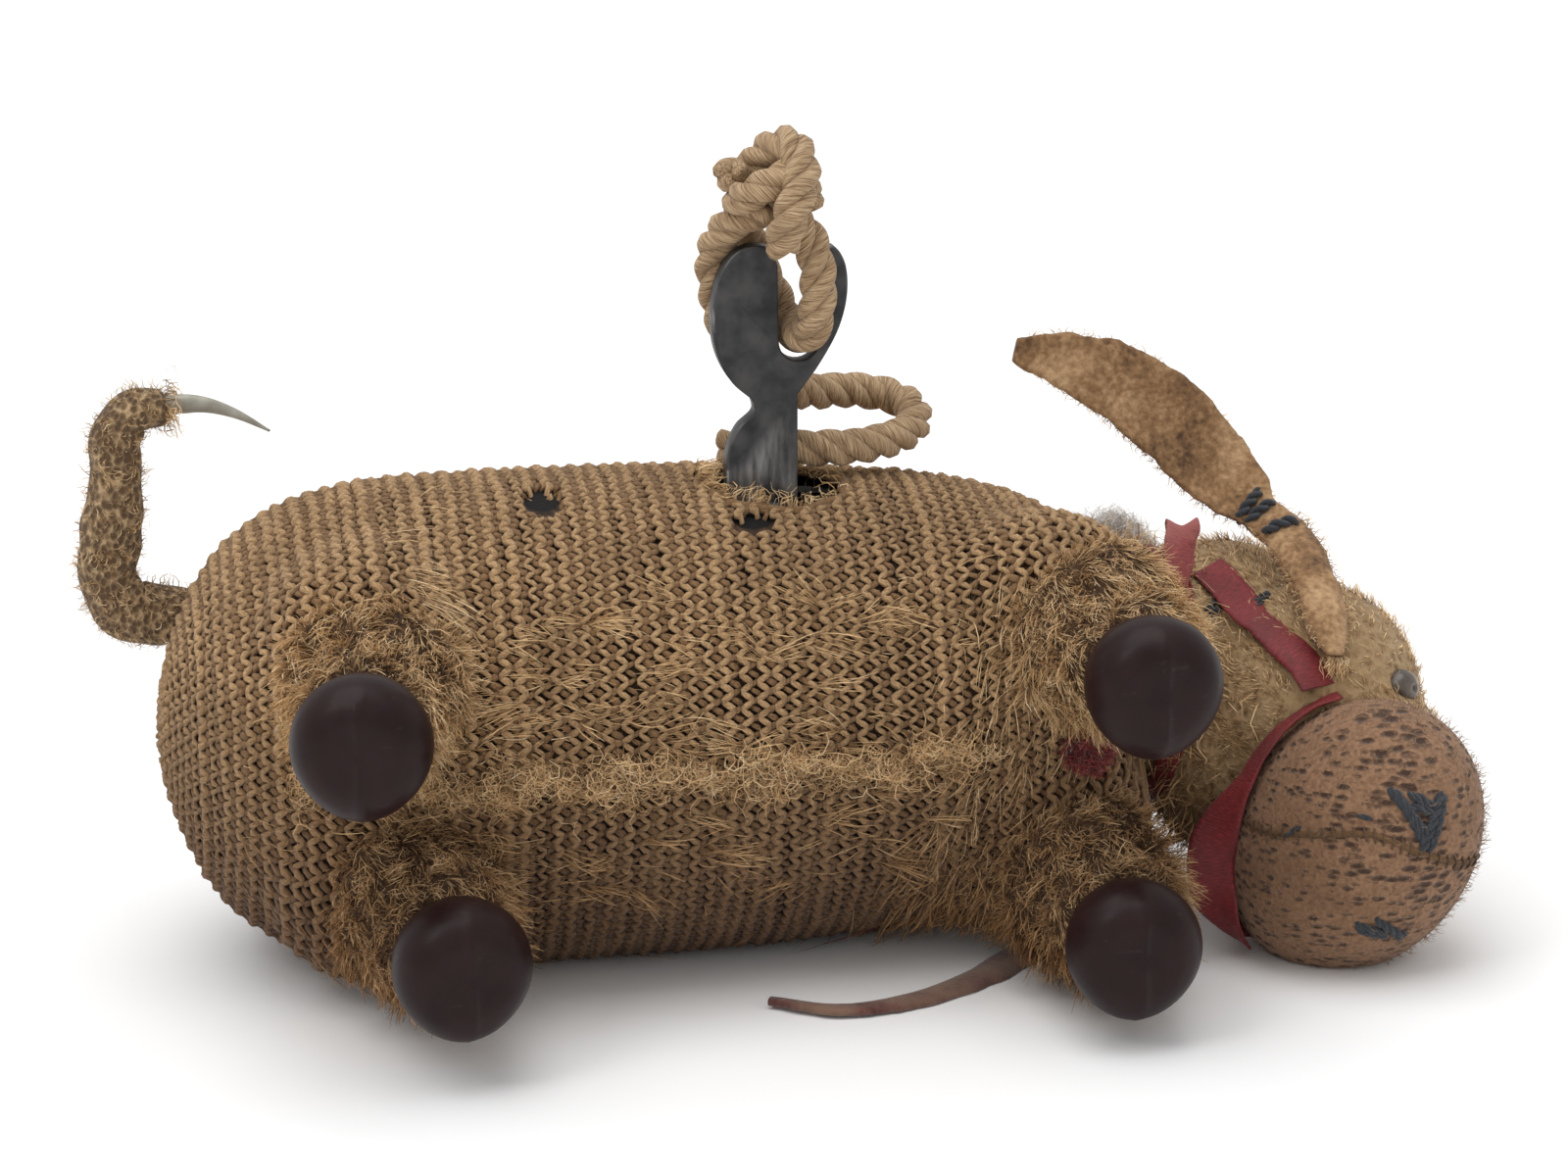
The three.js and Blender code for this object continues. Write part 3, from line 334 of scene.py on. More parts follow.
left_foot = smooth_line([(-1.2, 56.8, 0), (-1.0, 55.6, 0), (-2.6, 54.0, 0), (-3.6, 51.8, 0),
                         (-3.8, 49.5, 0)], 6)[1:, :2]
key_outline = np.vstack([right_edge, right_lobe, slot_foot, left_lobe, left_foot, [(-3.8, 44.2)]])
bpy.ops.object.select_all(action="DESELECT")
bpy.ops.mesh.primitive_circle_add(vertices=len(key_outline), radius=0.01, fill_type="NGON")
blade = bpy.context.object
blade.name = "key_blade"
for vertex, (x, z) in zip(blade.data.vertices, key_outline):
    vertex.co = Vector(at([KEY_X + x, KEY_Y + KEY_THICK / 2, z]))
bpy.ops.object.mode_set(mode="EDIT")
bpy.ops.mesh.select_all(action="SELECT")
bpy.ops.mesh.extrude_region_move(TRANSFORM_OT_translate={"value": (0, -KEY_THICK / 1000, 0)})
bpy.ops.mesh.select_all(action="SELECT")
bpy.ops.mesh.normals_make_consistent(inside=False)
bpy.ops.object.mode_set(mode="OBJECT")
rounding = blade.modifiers.new("rounding", "BEVEL")
rounding.width = 0.00042
rounding.segments = 3
rounding.limit_method = "ANGLE"
rounding.angle_limit = math.radians(50)
bpy.ops.object.modifier_apply(modifier="rounding")
bpy.ops.object.shade_smooth_by_angle(angle=math.radians(40))


def turned(name, profile, sides=48):
    """A round piece turned about Z in its own place: [radius, height] in millimetres."""
    bpy.ops.object.select_all(action="DESELECT")
    first = profile[0]
    bpy.ops.mesh.primitive_circle_add(vertices=sides, radius=first[0] / 1000, fill_type="NGON",
                                      location=(0, 0, 0))
    made = bpy.context.object
    made.name = name
    made.data.transform(Matrix.Translation((0, 0, first[1] / 1000)))
    bpy.ops.object.mode_set(mode="EDIT")
    bpy.ops.mesh.select_all(action="SELECT")
    for before, after in zip(profile, profile[1:]):
        rise = (after[1] - before[1]) / 1000
        bpy.ops.mesh.extrude_region_move(TRANSFORM_OT_translate={"value": (0, 0, rise)})
        grow = after[0] / before[0]
        bpy.ops.transform.resize(value=(grow, grow, 1), center_override=(0, 0, after[1] / 1000))
    bpy.ops.mesh.select_all(action="SELECT")
    bpy.ops.mesh.normals_make_consistent(inside=False)
    bpy.ops.object.mode_set(mode="OBJECT")
    bpy.ops.object.shade_smooth_by_angle(angle=math.radians(50))
    return made


socket_piece = turned("key_socket", [(2.3, 40.2), (2.7, 40.6), (2.7, 45.6), (2.2, 46.4), (1.0, 46.6)])
socket_piece.data.transform(Matrix.Translation(Vector(at([KEY_X, KEY_Y, 0]))))
iron = Finish("dark worn sheet steel", Metallic=0.85)
grime = iron.noise(420, 5)
scuff = iron.noise(900, 6, iron.stretched((1.0, 1.0, 0.18)))
edge_wear = iron.node("ShaderNodeNewGeometry", {}, {}, "Pointiness")
iron_colour = iron.mix(edge_wear.clip(0.52, 0.60) * scuff.clip(0.35, 0.6), iron.ramp(
    grime, (0.3, (0.028, 0.028, 0.030)), (0.55, (0.062, 0.061, 0.062)), (0.75, (0.095, 0.090, 0.086))),
    (0.34, 0.33, 0.32))
iron.surface(iron_colour, 0.36 + 0.3 * grime, scuff * 0.6 + grime * 0.4, 0.00006)
settle(blade, iron.material, "winding_key", ["winding_key"])
settle(socket_piece, iron.material, "winding_key")

# ---- body ----
# Open jersey knit stretched over two tin half shells: wavy yarn columns run round the body
# over a dark backing, torn in two places, with a frayed hole for the key.
MID_Z = 23.9
OUTLINE = smooth_line([(x, r, 0) for x, r in [
    (-50.2, 0.1), (-49.2, 6.6), (-47, 12.6), (-43.4, 18.0), (-37.6, 22.0), (-30, 24.1), (-20, 24.7),
                                              (3, 24.7),
    (16, 24.0), (28, 22.8), (36, 21.0), (42, 18.2), (46.5, 14.2), (49.4, 8.6), (50.4, 0.1)]], 8)
ALONG = np.concatenate([[0], np.cumsum(np.linalg.norm(np.diff(OUTLINE, axis=0), axis=1))])
HAUNCH = [(-30, -13.5, 10.5, 11.0, 10.2, 11.5), (37.5, -11.5, 10.5, 11.5, 9.6, 11.0)]
TEARS = [(-12.0, 47.6, 2.1, 0.9), (8.6, 45.6, 2.2, 0.7)]
KEYHOLE = (11.5, -3.4, 7.2, 5.0)


def reach(x, turn):
    """How far the body's surface is from its axis. Turn 0 looks to the back, a quarter turn up."""
    girth = np.interp(x, OUTLINE[:, 0], OUTLINE[:, 1])
    far = girth / np.sqrt((np.cos(turn) / 0.96) ** 2 + np.sin(turn) ** 2)
    total = np.exp(far / 1.1)
    for hx, hy, out, rx, ry, rz in HAUNCH:
        slim = np.sqrt(np.clip(1 - ((x - hx) / rx) ** 2, 0, 1)) + 1e-6
        for sign in (1, -1):
            uy, uz = np.cos(turn) / (ry * slim), np.sin(turn) / (rz * slim)
            cy, cz = hy / (ry * slim), sign * out / (rz * slim)
            a, b, c = uy * uy + uz * uz, uy * cy + uz * cz, cy * cy + cz * cz - 1
            root = b * b - a * c
            hit = np.where(root > 0, (b + np.sqrt(np.maximum(root, 0))) / a, 0)
            total = total + np.exp(np.clip(hit, 0, 40) / 1.1) - 1
    far = 1.1 * np.log(total)
    floor = np.where(np.sin(turn) < 0, (MID_Z - 0.2) / np.maximum(-np.sin(turn), 1e-3), 1e3)
    return np.minimum(far, floor)


def on_body(x, turn, lift=0.0):
    """Points of the body's surface, lifted along the surface's own direction."""
    def plain(u, v):
        far = reach(u, v)
        return np.stack([u + 0 * v, far * np.cos(v), MID_Z + far * np.sin(v)], axis=-1)
    x = np.clip(x, -50.12, 50.32)
    here = plain(x, turn)
    along_x = plain(x + 0.06, turn) - plain(x - 0.06, turn)
    round_it = plain(x, turn + 0.01) - plain(x, turn - 0.01)
    out = unit(np.cross(round_it, along_x))
    return here + np.asarray(lift)[..., None] * out, out


def torn(points):
    """How deep a point is inside a tear: 1 in its middle, 0 outside."""
    depth = np.zeros(points.shape[:-1])
    for x, z, rx, rz in TEARS:
        inside = 1 - ((points[..., 0] - x) / rx) ** 2 - ((points[..., 2] - z) / rz) ** 2
        depth = np.maximum(depth, np.where(points[..., 1] < 4, inside, 0))
    return np.clip(depth, 0, 1)


def at_keyhole(points, grow=0.0):
    x, y, rx, ry = KEYHOLE
    inside = ((points[..., 0] - x) / (rx + grow)) ** 2 + ((points[..., 1] - y) / (ry + grow)) ** 2 < 1
    return inside & (points[..., 2] > MID_Z + 8)


backing = Finish("dark backing cloth", Roughness=0.95)
weave = backing.noise(1500, 3)
backing_tone = backing.ramp(weave, (0.3, (0.030, 0.015, 0.007)), (0.7, (0.11, 0.060, 0.028)))
# Inside the tears the backing is painted near black: painted shade in the holes of the torn knit.
backing.surface(backing.mix(backing.attribute("tear").clip(0.0, 0.3), backing_tone,
                            (0.003, 0.002, 0.002)),
                height=weave, depth=0.0002)
grid_x = np.concatenate([np.linspace(-50.15, -44, 16), np.linspace(-43.5, 44.5, 150),
                         np.linspace(45, 50.35, 14)])
grid_turn = np.linspace(0, 2 * np.pi, 161)[:-1]
xx, tt = np.meshgrid(grid_x, grid_turn, indexing="ij")
skin_points, _ = on_body(xx, tt, -0.62 * np.ones_like(xx))
rings, spokes = xx.shape
skin_points = skin_points.reshape(-1, 3)
i, j = np.meshgrid(np.arange(rings - 1), np.arange(spokes), indexing="ij")
a, b = i * spokes + j, i * spokes + (j + 1) % spokes
skin_faces = np.stack([a, a + spokes, b + spokes, b], axis=2).reshape(-1, 4)
skin_faces = skin_faces[~at_keyhole(skin_points[skin_faces].mean(axis=1))].tolist()
skin_faces.append([k for k in range(spokes)])
skin_faces.append([(rings - 1) * spokes + k for k in range(spokes)][::-1])
body_backing = make_piece("body_backing", skin_points, skin_faces, backing.material, "toy_frame",
                          ["body_cover"], "plush", marks={"tear": torn(skin_points)})

yarn = Finish("worn tan knitting yarn", Roughness=0.95, Sheen_Weight=0.1, Sheen_Roughness=0.45)
ply = yarn.noise(3.0, 3, yarn.stretched((1.2, 1.2, 5.0), yarn.attribute("grain", "Vector")))
patch = yarn.noise(120, 3)
yarn_tone = yarn.ramp(ply, (0.25, (0.17, 0.09, 0.038)), (0.5, (0.45, 0.275, 0.13)),
                      (0.75, (0.70, 0.48, 0.26)))
# The deeper loops are multiplied darker: painted shade between the upper loops.
yarn_tone = yarn.mix(1 - yarn.attribute("tone"), yarn_tone, (0.50, 0.44, 0.38), "MULTIPLY")
# Below 34 mm the yarn is multiplied darker towards the table: painted shade under the toy.
yarn_height_for_painted_shade = yarn.node("ShaderNodeSeparateXYZ", {},
                     {"Vector": yarn.node("ShaderNodeTexCoord", {}, {}, "Object")}, "Z")
yarn_tone = yarn.mix((0.034 - yarn_height_for_painted_shade).clip(0.0, 0.026), yarn_tone, (0.34, 0.265, 0.21), "MULTIPLY")
yarn_colour = yarn.mix(patch.clip(0.42, 0.66) * 0.45, yarn_tone, (0.21, 0.118, 0.05))
yarn.surface(yarn_colour, height=ply, depth=0.00018)


def knitted(first, last, name, seed):
    """Wavy yarn columns from one place along the body to another, light loops over deeper ones darkened
    with painted shade.
    """
    chance = np.random.default_rng(seed)
    parts, tones = [], []
    for count, run in enumerate(np.arange(first, last, 0.84)):
        under, number = count % 2, count // 2
        girth = float(np.interp(run, ALONG, OUTLINE[:, 1]))
        stitches = 2 * max(2, int(round(girth * 2 * math.pi / 1.75 / 2)))
        turn = np.linspace(0, 2 * np.pi, stitches * 6 + 1)[:-1]
        wave = stitches * turn + np.pi * (number % 2) + 0.5 * np.pi * under
        wander = 0.16 * np.sin(3 * turn + number) + 0.1 * np.sin(17 * turn + 2.1 * number)
        place = np.interp(run + (0.44 + 0.06 * under) * np.sin(wave) + wander, ALONG, OUTLINE[:, 0])
        lift = 0.06 - 0.22 * under + 0.14 * np.cos(2 * wave) + 0.05 * chance.standard_normal(len(turn))
        centre, out = on_body(place, turn, lift)
        deep = torn(centre)
        centre = centre - 1.4 * out * np.clip(deep * 3, 0, 1)[:, None]
        ahead = unit(np.roll(centre, -1, axis=0) - np.roll(centre, 1, axis=0))
        side = unit(np.cross(ahead, out))
        thick = 0.33 + 0.04 * np.sin(wave * 2 + 1) + 0.05 * chance.standard_normal()
        angle = 2 * np.pi * np.arange(4) / 4 + np.pi / 4
        ring = np.cos(angle)[None, :, None] * side[:, None] * 1.12 + np.sin(angle)[None, :,
                None] * out[:, None]
        points = (centre[:, None] + thick[:, None, None] * ring)
        n = len(turn)
        twist = np.arange(n)[:, None] * 0.29
        turned_by = angle[None, :] + 1.9 * twist
        grain = np.stack([np.cos(turned_by), np.sin(turned_by), 0.1 * twist + 0 * turned_by + number],
                         axis=2)
        i, j = np.meshgrid(np.arange(n), np.arange(4), indexing="ij")
        a, b = i * 4 + j, i * 4 + (j + 1) % 4
        c, d = ((i + 1) % n) * 4 + (j + 1) % 4, ((i + 1) % n) * 4 + j
        faces = np.stack([a, d, c, b], axis=2)
        keep = ~(at_keyhole(centre, 0.4) | at_keyhole(np.roll(centre, -1, axis=0), 0.4))
        faces = faces[keep].reshape(-1, 4).tolist()
        parts.append((points.reshape(-1, 3), faces, grain.reshape(-1, 3)))
        tones.append(np.full(4 * n, 1.0 - under))
    points, faces, grain = gathered(parts)
    return make_piece(name, points, faces, yarn.material, "toy_frame", slot="plush", grain=grain,
                      marks={"tone": np.concatenate(tones)})


reaches = np.linspace(1.6, ALONG[-1] - 1.6, 6)
for number in range(5):
    knitted(reaches[number], reaches[number + 1], f"knit_{number + 1}", number + 1)

# ---- pile ----
# Mohair fibres stand through the knit: long on the haunches, shoulders, head and legs,
# curled along the belly seam, lying in streaks over the belly and sparse elsewhere.
pile = Finish("golden mohair pile", Roughness=0.75, Sheen_Weight=0.08, Sheen_Roughness=0.4)
up_fibre = pile.attribute("along")
hair_tone = pile.attribute("tone")
# Each fibre is darker towards its root: painted shade among the fibres.
pile_colour = pile.mix(up_fibre.clip(0.0, 0.7), (0.22, 0.118, 0.048), pile.ramp(
    hair_tone, (0.0, (0.44, 0.255, 0.105)), (0.5, (0.76, 0.51, 0.25)), (1.0, (0.96, 0.76, 0.48))))
# Below 30 mm the pile is multiplied darker towards the table: painted shade under the toy.
pile_height_for_painted_shade = pile.node("ShaderNodeSeparateXYZ", {},
                     {"Vector": pile.node("ShaderNodeTexCoord", {}, {}, "Object")}, "Z")
pile_colour = pile.mix((0.030 - pile_height_for_painted_shade).clip(0.0, 0.026), pile_colour, (0.52, 0.41, 0.32), "MULTIPLY")
pile.surface(pile_colour)


def scatter(piece, count, chance, weight=None):
    """Places spread over a piece's surface, with the direction out of it."""
    mesh = piece.data
    mesh.calc_loop_triangles()
    corners = np.zeros(len(mesh.loop_triangles) * 3, int)
    mesh.loop_triangles.foreach_get("vertices", corners)
    points = np.zeros(len(mesh.vertices) * 3)
    mesh.vertices.foreach_get("co", points)
    points = points.reshape(-1, 3) * 1000 - DRAWN_SHIFT
    tri = points[corners.reshape(-1, 3)]
    across = np.cross(tri[:, 1] - tri[:, 0], tri[:, 2] - tri[:, 0])
    area = np.linalg.norm(across, axis=1)
    share = area * (weight(tri.mean(axis=1)) if weight else 1)
    pick = chance.choice(len(tri), count, p=share / share.sum())
    u, v = chance.random((2, count))
    flip = u + v > 1
    u, v = np.where(flip, 1 - u, u), np.where(flip, 1 - v, v)
    chosen = tri[pick]
    roots = chosen[:, 0] + u[:, None] * (chosen[:, 1] - chosen[:, 0]) + v[:, None] * (chosen[:, 2]
            - chosen[:, 0])
    return roots, unit(across[pick])


def fibres(name, roots, out, length, width, comb, lay, curl, finish, body, seed, steps=3, slot="plush",
           tone=None):
    """Thin tapering fibres that leave the surface and bend over towards the comb direction."""
    chance = np.random.default_rng(seed)
    n = len(roots)
    long = length * (0.55 + 0.9 * chance.random(n))[:, None, None]
    comb = np.broadcast_to(comb, (n, 3))
    stray = chance.standard_normal((n, 3))
    lock = np.stack([np.sin(roots @ [1.5, 0.6, 1.1] + 1.7 * np.sin(roots @ [0.4, 0.9, -0.6])),
                     np.sin(roots @ [-0.7, 1.4, 0.8] + 1.3 * np.sin(roots @ [0.8, -0.3, 0.6])),
                     np.sin(roots @ [0.5, -1.0, 1.5])], axis=1)
    start = unit(out * (1 - lay) + comb * lay * 0.5 + 0.15 * stray + 0.2 * lock)
    bent = unit(comb * lay + out * 0.25 * (1 - lay) + 0.14 * chance.standard_normal((n, 3)) + 0.32
                * lock)
    bent = bent - out * np.minimum((bent * out).sum(1), 0)[:, None] * 0.8
    t = np.linspace(0, 1, steps + 1)[None, :, None]
    sway = unit(np.cross(start, stray))
    lift = unit(np.cross(start, sway))
    phase = 2 * np.pi * chance.random(n)[:, None, None]
    swing = curl[1] * t + phase
    coil = curl[0] * (sway[:, None] * (np.cos(swing) - np.cos(phase)) + lift[:, None]
                      * (np.sin(swing) - np.sin(phase)))
    line = roots[:, None] + long * (start[:, None] * (t - 0.5 * t * t) + bent[:, None] * 0.5 * t
                                    * t) + coil
    line[..., 2] = np.maximum(line[..., 2], 0.15)
    flat = unit(np.cross(np.gradient(line, axis=1), chance.standard_normal((n, 1, 3))))
    half = 0.5 * width * (0.7 + 0.6 * chance.random(n))[:, None, None] * (1 - 0.75 * t ** 2)
    points = np.stack([line - half * flat, line + half * flat], axis=2).reshape(-1, 3)
    strand, step = np.meshgrid(np.arange(n), np.arange(steps), indexing="ij")
    a = (strand * (steps + 1) + step) * 2
    faces = np.stack([a, a + 1, a + 3, a + 2], axis=2).reshape(-1, 4).tolist()
    shade = np.clip(0.5 + 0.2 * chance.standard_normal(n) + 0.17 * lock[:, 0], 0,
                    1) if tone is None else tone
    marks = {"along": np.repeat(np.broadcast_to(t[0, :, 0], (n, steps + 1)).ravel(), 2),
             "tone": np.repeat(np.repeat(shade, steps + 1), 2)}
    return make_piece(name, points, faces, finish, body, slot=slot, marks=marks)


def furry(p):
    """Where the pile is still long: thighs and shoulders, least on the upper flank."""
    thigh = np.clip(1.25 - np.hypot((p[:, 0] + 33) / 15, (p[:, 1] + 16) / 18), 0, 1)
    shoulder = np.clip(1.3 - np.hypot((p[:, 0] - 38) / 14, (p[:, 1] + 12) / 20), 0, 1)
    rump = np.clip((-p[:, 0] - 36) / 12, 0, 1) * 0.5
    return np.maximum(np.maximum(thigh, shoulder), rump) * ~at_keyhole(p, 1.5) + 0.004


def whole(p):
    bare = np.clip((p[:, 2] - 40) / 6, 0, 1) * np.clip(1 - np.abs(p[:, 0] - 2) / 34, 0, 1)
    return (0.25 + 0.75 * np.clip((-p[:, 1] - 2) / 14, 0, 1)) * (1 - 0.7
            * bare) * ~at_keyhole(p, 1.0) * (torn(p) < 0.05)


chance = np.random.default_rng(11)
roots, out = scatter(body_backing, 10000, chance, whole)
drift = np.where((np.sin(roots[:, 2] * 0.9 + roots[:, 0] * 0.11) > 0)[:, None], [[1.0, 0, -0.15]],
                 [[-1.0, 0, -0.1]])
fibres("pile_thin", roots, out, 2.1, 0.10, drift, 0.68, (0.12, 5), pile.material, "toy_frame", 12)
roots, out = scatter(body_backing, 44000, chance, furry)
swirl = np.where((roots[:, 0] > 0)[:, None], [[-0.45, -0.3, -0.8]], [[0.85, -0.2, -0.25]])
for end, chosen in (("thighs", roots[:, 0] < 0), ("shoulders", roots[:, 0] >= 0)):
    fibres(f"pile_{end}", roots[chosen], out[chosen], 4.6, 0.10, swirl[chosen], 0.84, (0.10, 4),
           pile.material,
           "toy_frame", 13, 4)

seam_x = chance.uniform(-38, 30, 1500)
seam_root, seam_out = on_body(seam_x, np.pi + 0.03 * chance.standard_normal(1500) + 0.02
                              * np.sin(seam_x), -0.3 * np.ones(1500))
fibres("pile_seam", seam_root, seam_out, 3.0, 0.14, [0.3, 0, 0.2], 0.35, (0.7, 9), pile.material,
       "toy_frame", 14, 7)
tuft_x = chance.uniform(-24, 26, 150)
tuft_turn = np.pi + chance.uniform(-0.75, 0.55, 150)
strand_x = np.repeat(tuft_x, 22) + 0.7 * chance.standard_normal(3300)
strand_turn = np.repeat(tuft_turn, 22) + 0.014 * chance.standard_normal(3300)
tuft_root, tuft_out = on_body(strand_x, strand_turn, -0.2 * np.ones(3300))
tuft_way = np.repeat(np.sign(chance.standard_normal(150)), 22)[:, None] * [[1.0, 0, -0.1]]
fibres("pile_streaks", tuft_root, tuft_out, 3.9, 0.11, tuft_way, 0.97, (0.06, 4), pile.material,
       "toy_frame", 15, 4,
       tone=np.clip(0.42 + 0.18 * chance.standard_normal(3300), 0, 1))

# The keyhole's rim is a rolled and frayed edge of the knit.
rim_turn = np.linspace(0, 2 * np.pi, 160)[:-1]
rim_x = KEYHOLE[0] + (KEYHOLE[2] + 0.35) * np.cos(rim_turn) + 0.2 * np.sin(9 * rim_turn)
rim_y = KEYHOLE[1] + (KEYHOLE[3] + 0.35) * np.sin(rim_turn) + 0.15 * np.cos(7 * rim_turn)
rim_far = np.array([float(reach(np.array(x), np.array(math.atan2(20.0, y)))) for x,
                    y in zip(rim_x, rim_y)])
rim_z = MID_Z + np.sqrt(np.maximum(rim_far ** 2 - rim_y ** 2, 0)) - 0.1
rim = np.stack([rim_x, rim_y, rim_z], axis=1)
rim_parts = tube(np.vstack([rim, rim[:2]]), 0.5, 8, 1.9)
make_piece("keyhole_rim", *rim_parts[:2], yarn.material, "toy_frame", slot="plush", grain=rim_parts[2])
fray = chance.choice(len(rim), 420, p=(1.2 - np.cos(rim_turn)) / (1.2 - np.cos(rim_turn)).sum())
fray_in = unit(np.array([[KEYHOLE[0], KEYHOLE[1], 0.0]]) - rim[fray] * [[1, 1, 0]])
fibres("keyhole_fray", rim[fray], unit(fray_in * 0.3 + [[0, 0, 1.0]]), 2.2, 0.15, fray_in, 0.6,
       (0.4, 6),
       pile.material, "toy_frame", 16, 4)

# ---- legs ----
# Soft plush sleeves from the haunches to the hooves, over the steel lever that swings inside.
# Their pile is long where they leave the body.
PIVOT_Y = -8.0
LEGS = {
    "rear_right": (-28.2, 35.0 - 0.1 - 1.2, -7.9), "rear_left": (-28.2, 12.8 + 0.1 - 1.2, 7.9),
    "front_right": (41.0, 35.0 + 1.9 - 1.2, 1.2), "front_left": (41.0, 12.8 - 1.9 - 1.2, -1.2),
}


def from_pivot(leg, points):
    """Points drawn about a leg's own pivot, turned to where the leg stands."""
    x, z, step = LEGS[leg]
    points = np.asarray(points, float)
    c, s = math.cos(math.radians(step)), math.sin(math.radians(step))
    turned_x = x + points[..., 0] * c - points[..., 1] * s
    turned_y = PIVOT_Y + points[..., 0] * s + points[..., 1] * c
    return np.stack([turned_x, turned_y, z + points[..., 2]], axis=-1)


SLEEVE = smooth_line([(5.0, -10.5, 0), (8.0, -12.5, 0), (8.2, -15.5, 0), (7.3, -18.5, 0),
                      (6.5, -21.5, 0), (6.0, -24.5, 0),
                      (5.7, -26.6, 0), (4.4, -27.4, 0)], 5)[:, :2]
for number, leg in enumerate(LEGS):
    angle = np.linspace(0, 2 * np.pi, 49)[:-1]
    lumps = 1 + 0.05 * np.sin(3 * angle[None, :] + 0.4 * SLEEVE[:, 1:2] + number) + 0.03 * np.sin(5
            * angle[None, :] - SLEEVE[:, 1:2])
    far = SLEEVE[:, :1] * lumps
    shape = np.stack([far * np.cos(angle), SLEEVE[:, 1:2] + 0 * far, far * np.sin(angle)], axis=2)
    n = len(angle)
    faces = closed_walls(len(SLEEVE), n)
    points = from_pivot(leg, shape).reshape(-1, 3)
    points[:, 2] = np.maximum(points[:, 2], 0.4)
    sleeve = make_piece(f"{leg}_sleeve", points, faces, backing.material, None, [f"{leg}_leg_cover"],
                        "plush")
    chance = np.random.default_rng(30 + number)
    heart = from_pivot(leg, [0, -20, 0])
    roots, out = scatter(sleeve, 9500, chance)
    away = (roots - heart) * [[1, 0, 1]]
    out = np.where(((out * away).sum(1) < 0)[:, None], -out, out)
    down = from_pivot(leg, [0, -1, 0]) - from_pivot(leg, [0, 0, 0])
    hair = fibres(f"{leg}_pile", roots, out, 3.0, 0.10, down, 0.80, (0.10, 4), pile.material, None,
                  40 + number)
    for piece in (sleeve, hair):
        at(from_pivot(leg, [0, -13.0, 0])).tolist()
        at(from_pivot(leg, [0, -25.5, 0])).tolist()
        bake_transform(piece)

# ---- hooves ----
# Pressed domed caps with a satin near-black lacquer. A low ridge crosses each dome.
lacquer = Finish("near black hoof lacquer", Coat_Weight=0.07, Coat_Roughness=0.25,
                 Specular_IOR_Level=0.14)
smear = lacquer.noise(260, 5)
scratch = lacquer.noise(900, 4, lacquer.stretched((0.25, 1.0, 1.0)))
lacquer_colour = lacquer.mix(scratch.clip(0.66, 0.8) * 0.35, lacquer.ramp(
    smear, (0.3, (0.012, 0.0040, 0.0042)), (0.7, (0.021, 0.0085, 0.009))), (0.07, 0.045, 0.042))
lacquer.surface(lacquer_colour, 0.34 + 0.22 * smear, smear + scratch * 0.3, 0.00008)
HOOF = [(p[0], p[1]) for p in smooth_line([(5.2, 8.5, 0), (5.9, 7.4, 0), (6.4, 5.8, 0), (6.6, 4.3, 0),
                                           (6.3, 2.6, 0),
                                           (5.4, 1.15, 0), (4.2, 0.3, 0), (3.3, 0.04, 0),
                                           (0.5, 0.0, 0)], 4)]
for leg in LEGS:
    hoof = turned(f"{leg}_hoof_cap", HOOF, 56)
    for vertex in hoof.data.vertices:
        x, y, z = (v * 1000 for v in vertex.co)
        ridge = 0.45 * math.exp(-(x / 0.5) ** 2) * max(0.0, 1 - z / 5.0)
        point = 1.0 + 0.09 * max(0.0, -y / 6.6) ** 3
        vertex.co = Vector((x, y * point, z - ridge)) / 1000
    place = np.array([[v.co.x, v.co.z, v.co.y] for v in hoof.data.vertices]) * 1000
    placed = at(from_pivot(leg, place * [1, 1, 1] + [0, -36.0, 0]))
    hoof.data.vertices.foreach_set("co", placed.ravel())
    bpy.ops.object.mode_set(mode="EDIT")
    bpy.ops.mesh.select_all(action="SELECT")
    bpy.ops.mesh.normals_make_consistent(inside=False)
    bpy.ops.object.mode_set(mode="OBJECT")
    settle(hoof, lacquer.material, f"{leg}_leg", [f"{leg}_hoof"])

# ---- head ----
# A stuffed plush head, fuller at the brow, with short worn pile, and a muzzle of pinkish
# knit sewn to its front.
NOSE = (9, -34, -15)


def stuffed(name, eggs, voxel):
    """Soft stuffed shape from a few eggs: centre, radii along and across, direction."""
    lumps = []
    for centre, radii, along in eggs:
        bpy.ops.object.select_all(action="DESELECT")
        bpy.ops.mesh.primitive_uv_sphere_add(radius=0.001, segments=40, ring_count=24)
        lump = bpy.context.object
        turn = Vector((0, 1, 0)).rotation_difference(Vector(along).normalized()).to_matrix().to_4x4()
        size = Matrix.Diagonal((radii[1], radii[0], radii[2], 1))
        lump.data.transform(Matrix.Translation(Vector(at(centre))) @ turn @ size)
        lumps.append(lump)
    bpy.ops.object.select_all(action="DESELECT")
    for lump in lumps:
        lump.select_set(True)
    bpy.context.view_layer.objects.active = lumps[0]
    if len(lumps) > 1:
        bpy.ops.object.join()
    made = lumps[0]
    made.name = name
    skin = made.modifiers.new("skin", "REMESH")
    skin.mode = "VOXEL"
    skin.voxel_size = voxel
    bpy.ops.object.modifier_apply(modifier="skin")
    relax = made.modifiers.new("relax", "SMOOTH")
    relax.factor = 0.6
    relax.iterations = 14
    bpy.ops.object.modifier_apply(modifier="relax")
    bpy.ops.object.shade_smooth()
    return made


head = stuffed("head_form", [
    ((50, 3.5, 25.4), (11, 12.2, 12.2), (1, 0.2, 0.1)), ((62, 6.5, 25.2), (12.4, 11.6, 11.2), NOSE),
    ((67.6, -3.6, 21.4), (13.2, 13.4, 11.4), NOSE), ((61.0, -2.6, 14.8), (9.4, 9.0, 10.0), NOSE),
    ((74.6, -14.4, 18.2), (9.0, 6.0, 7.6), (5, -34, -20))], 0.0009)
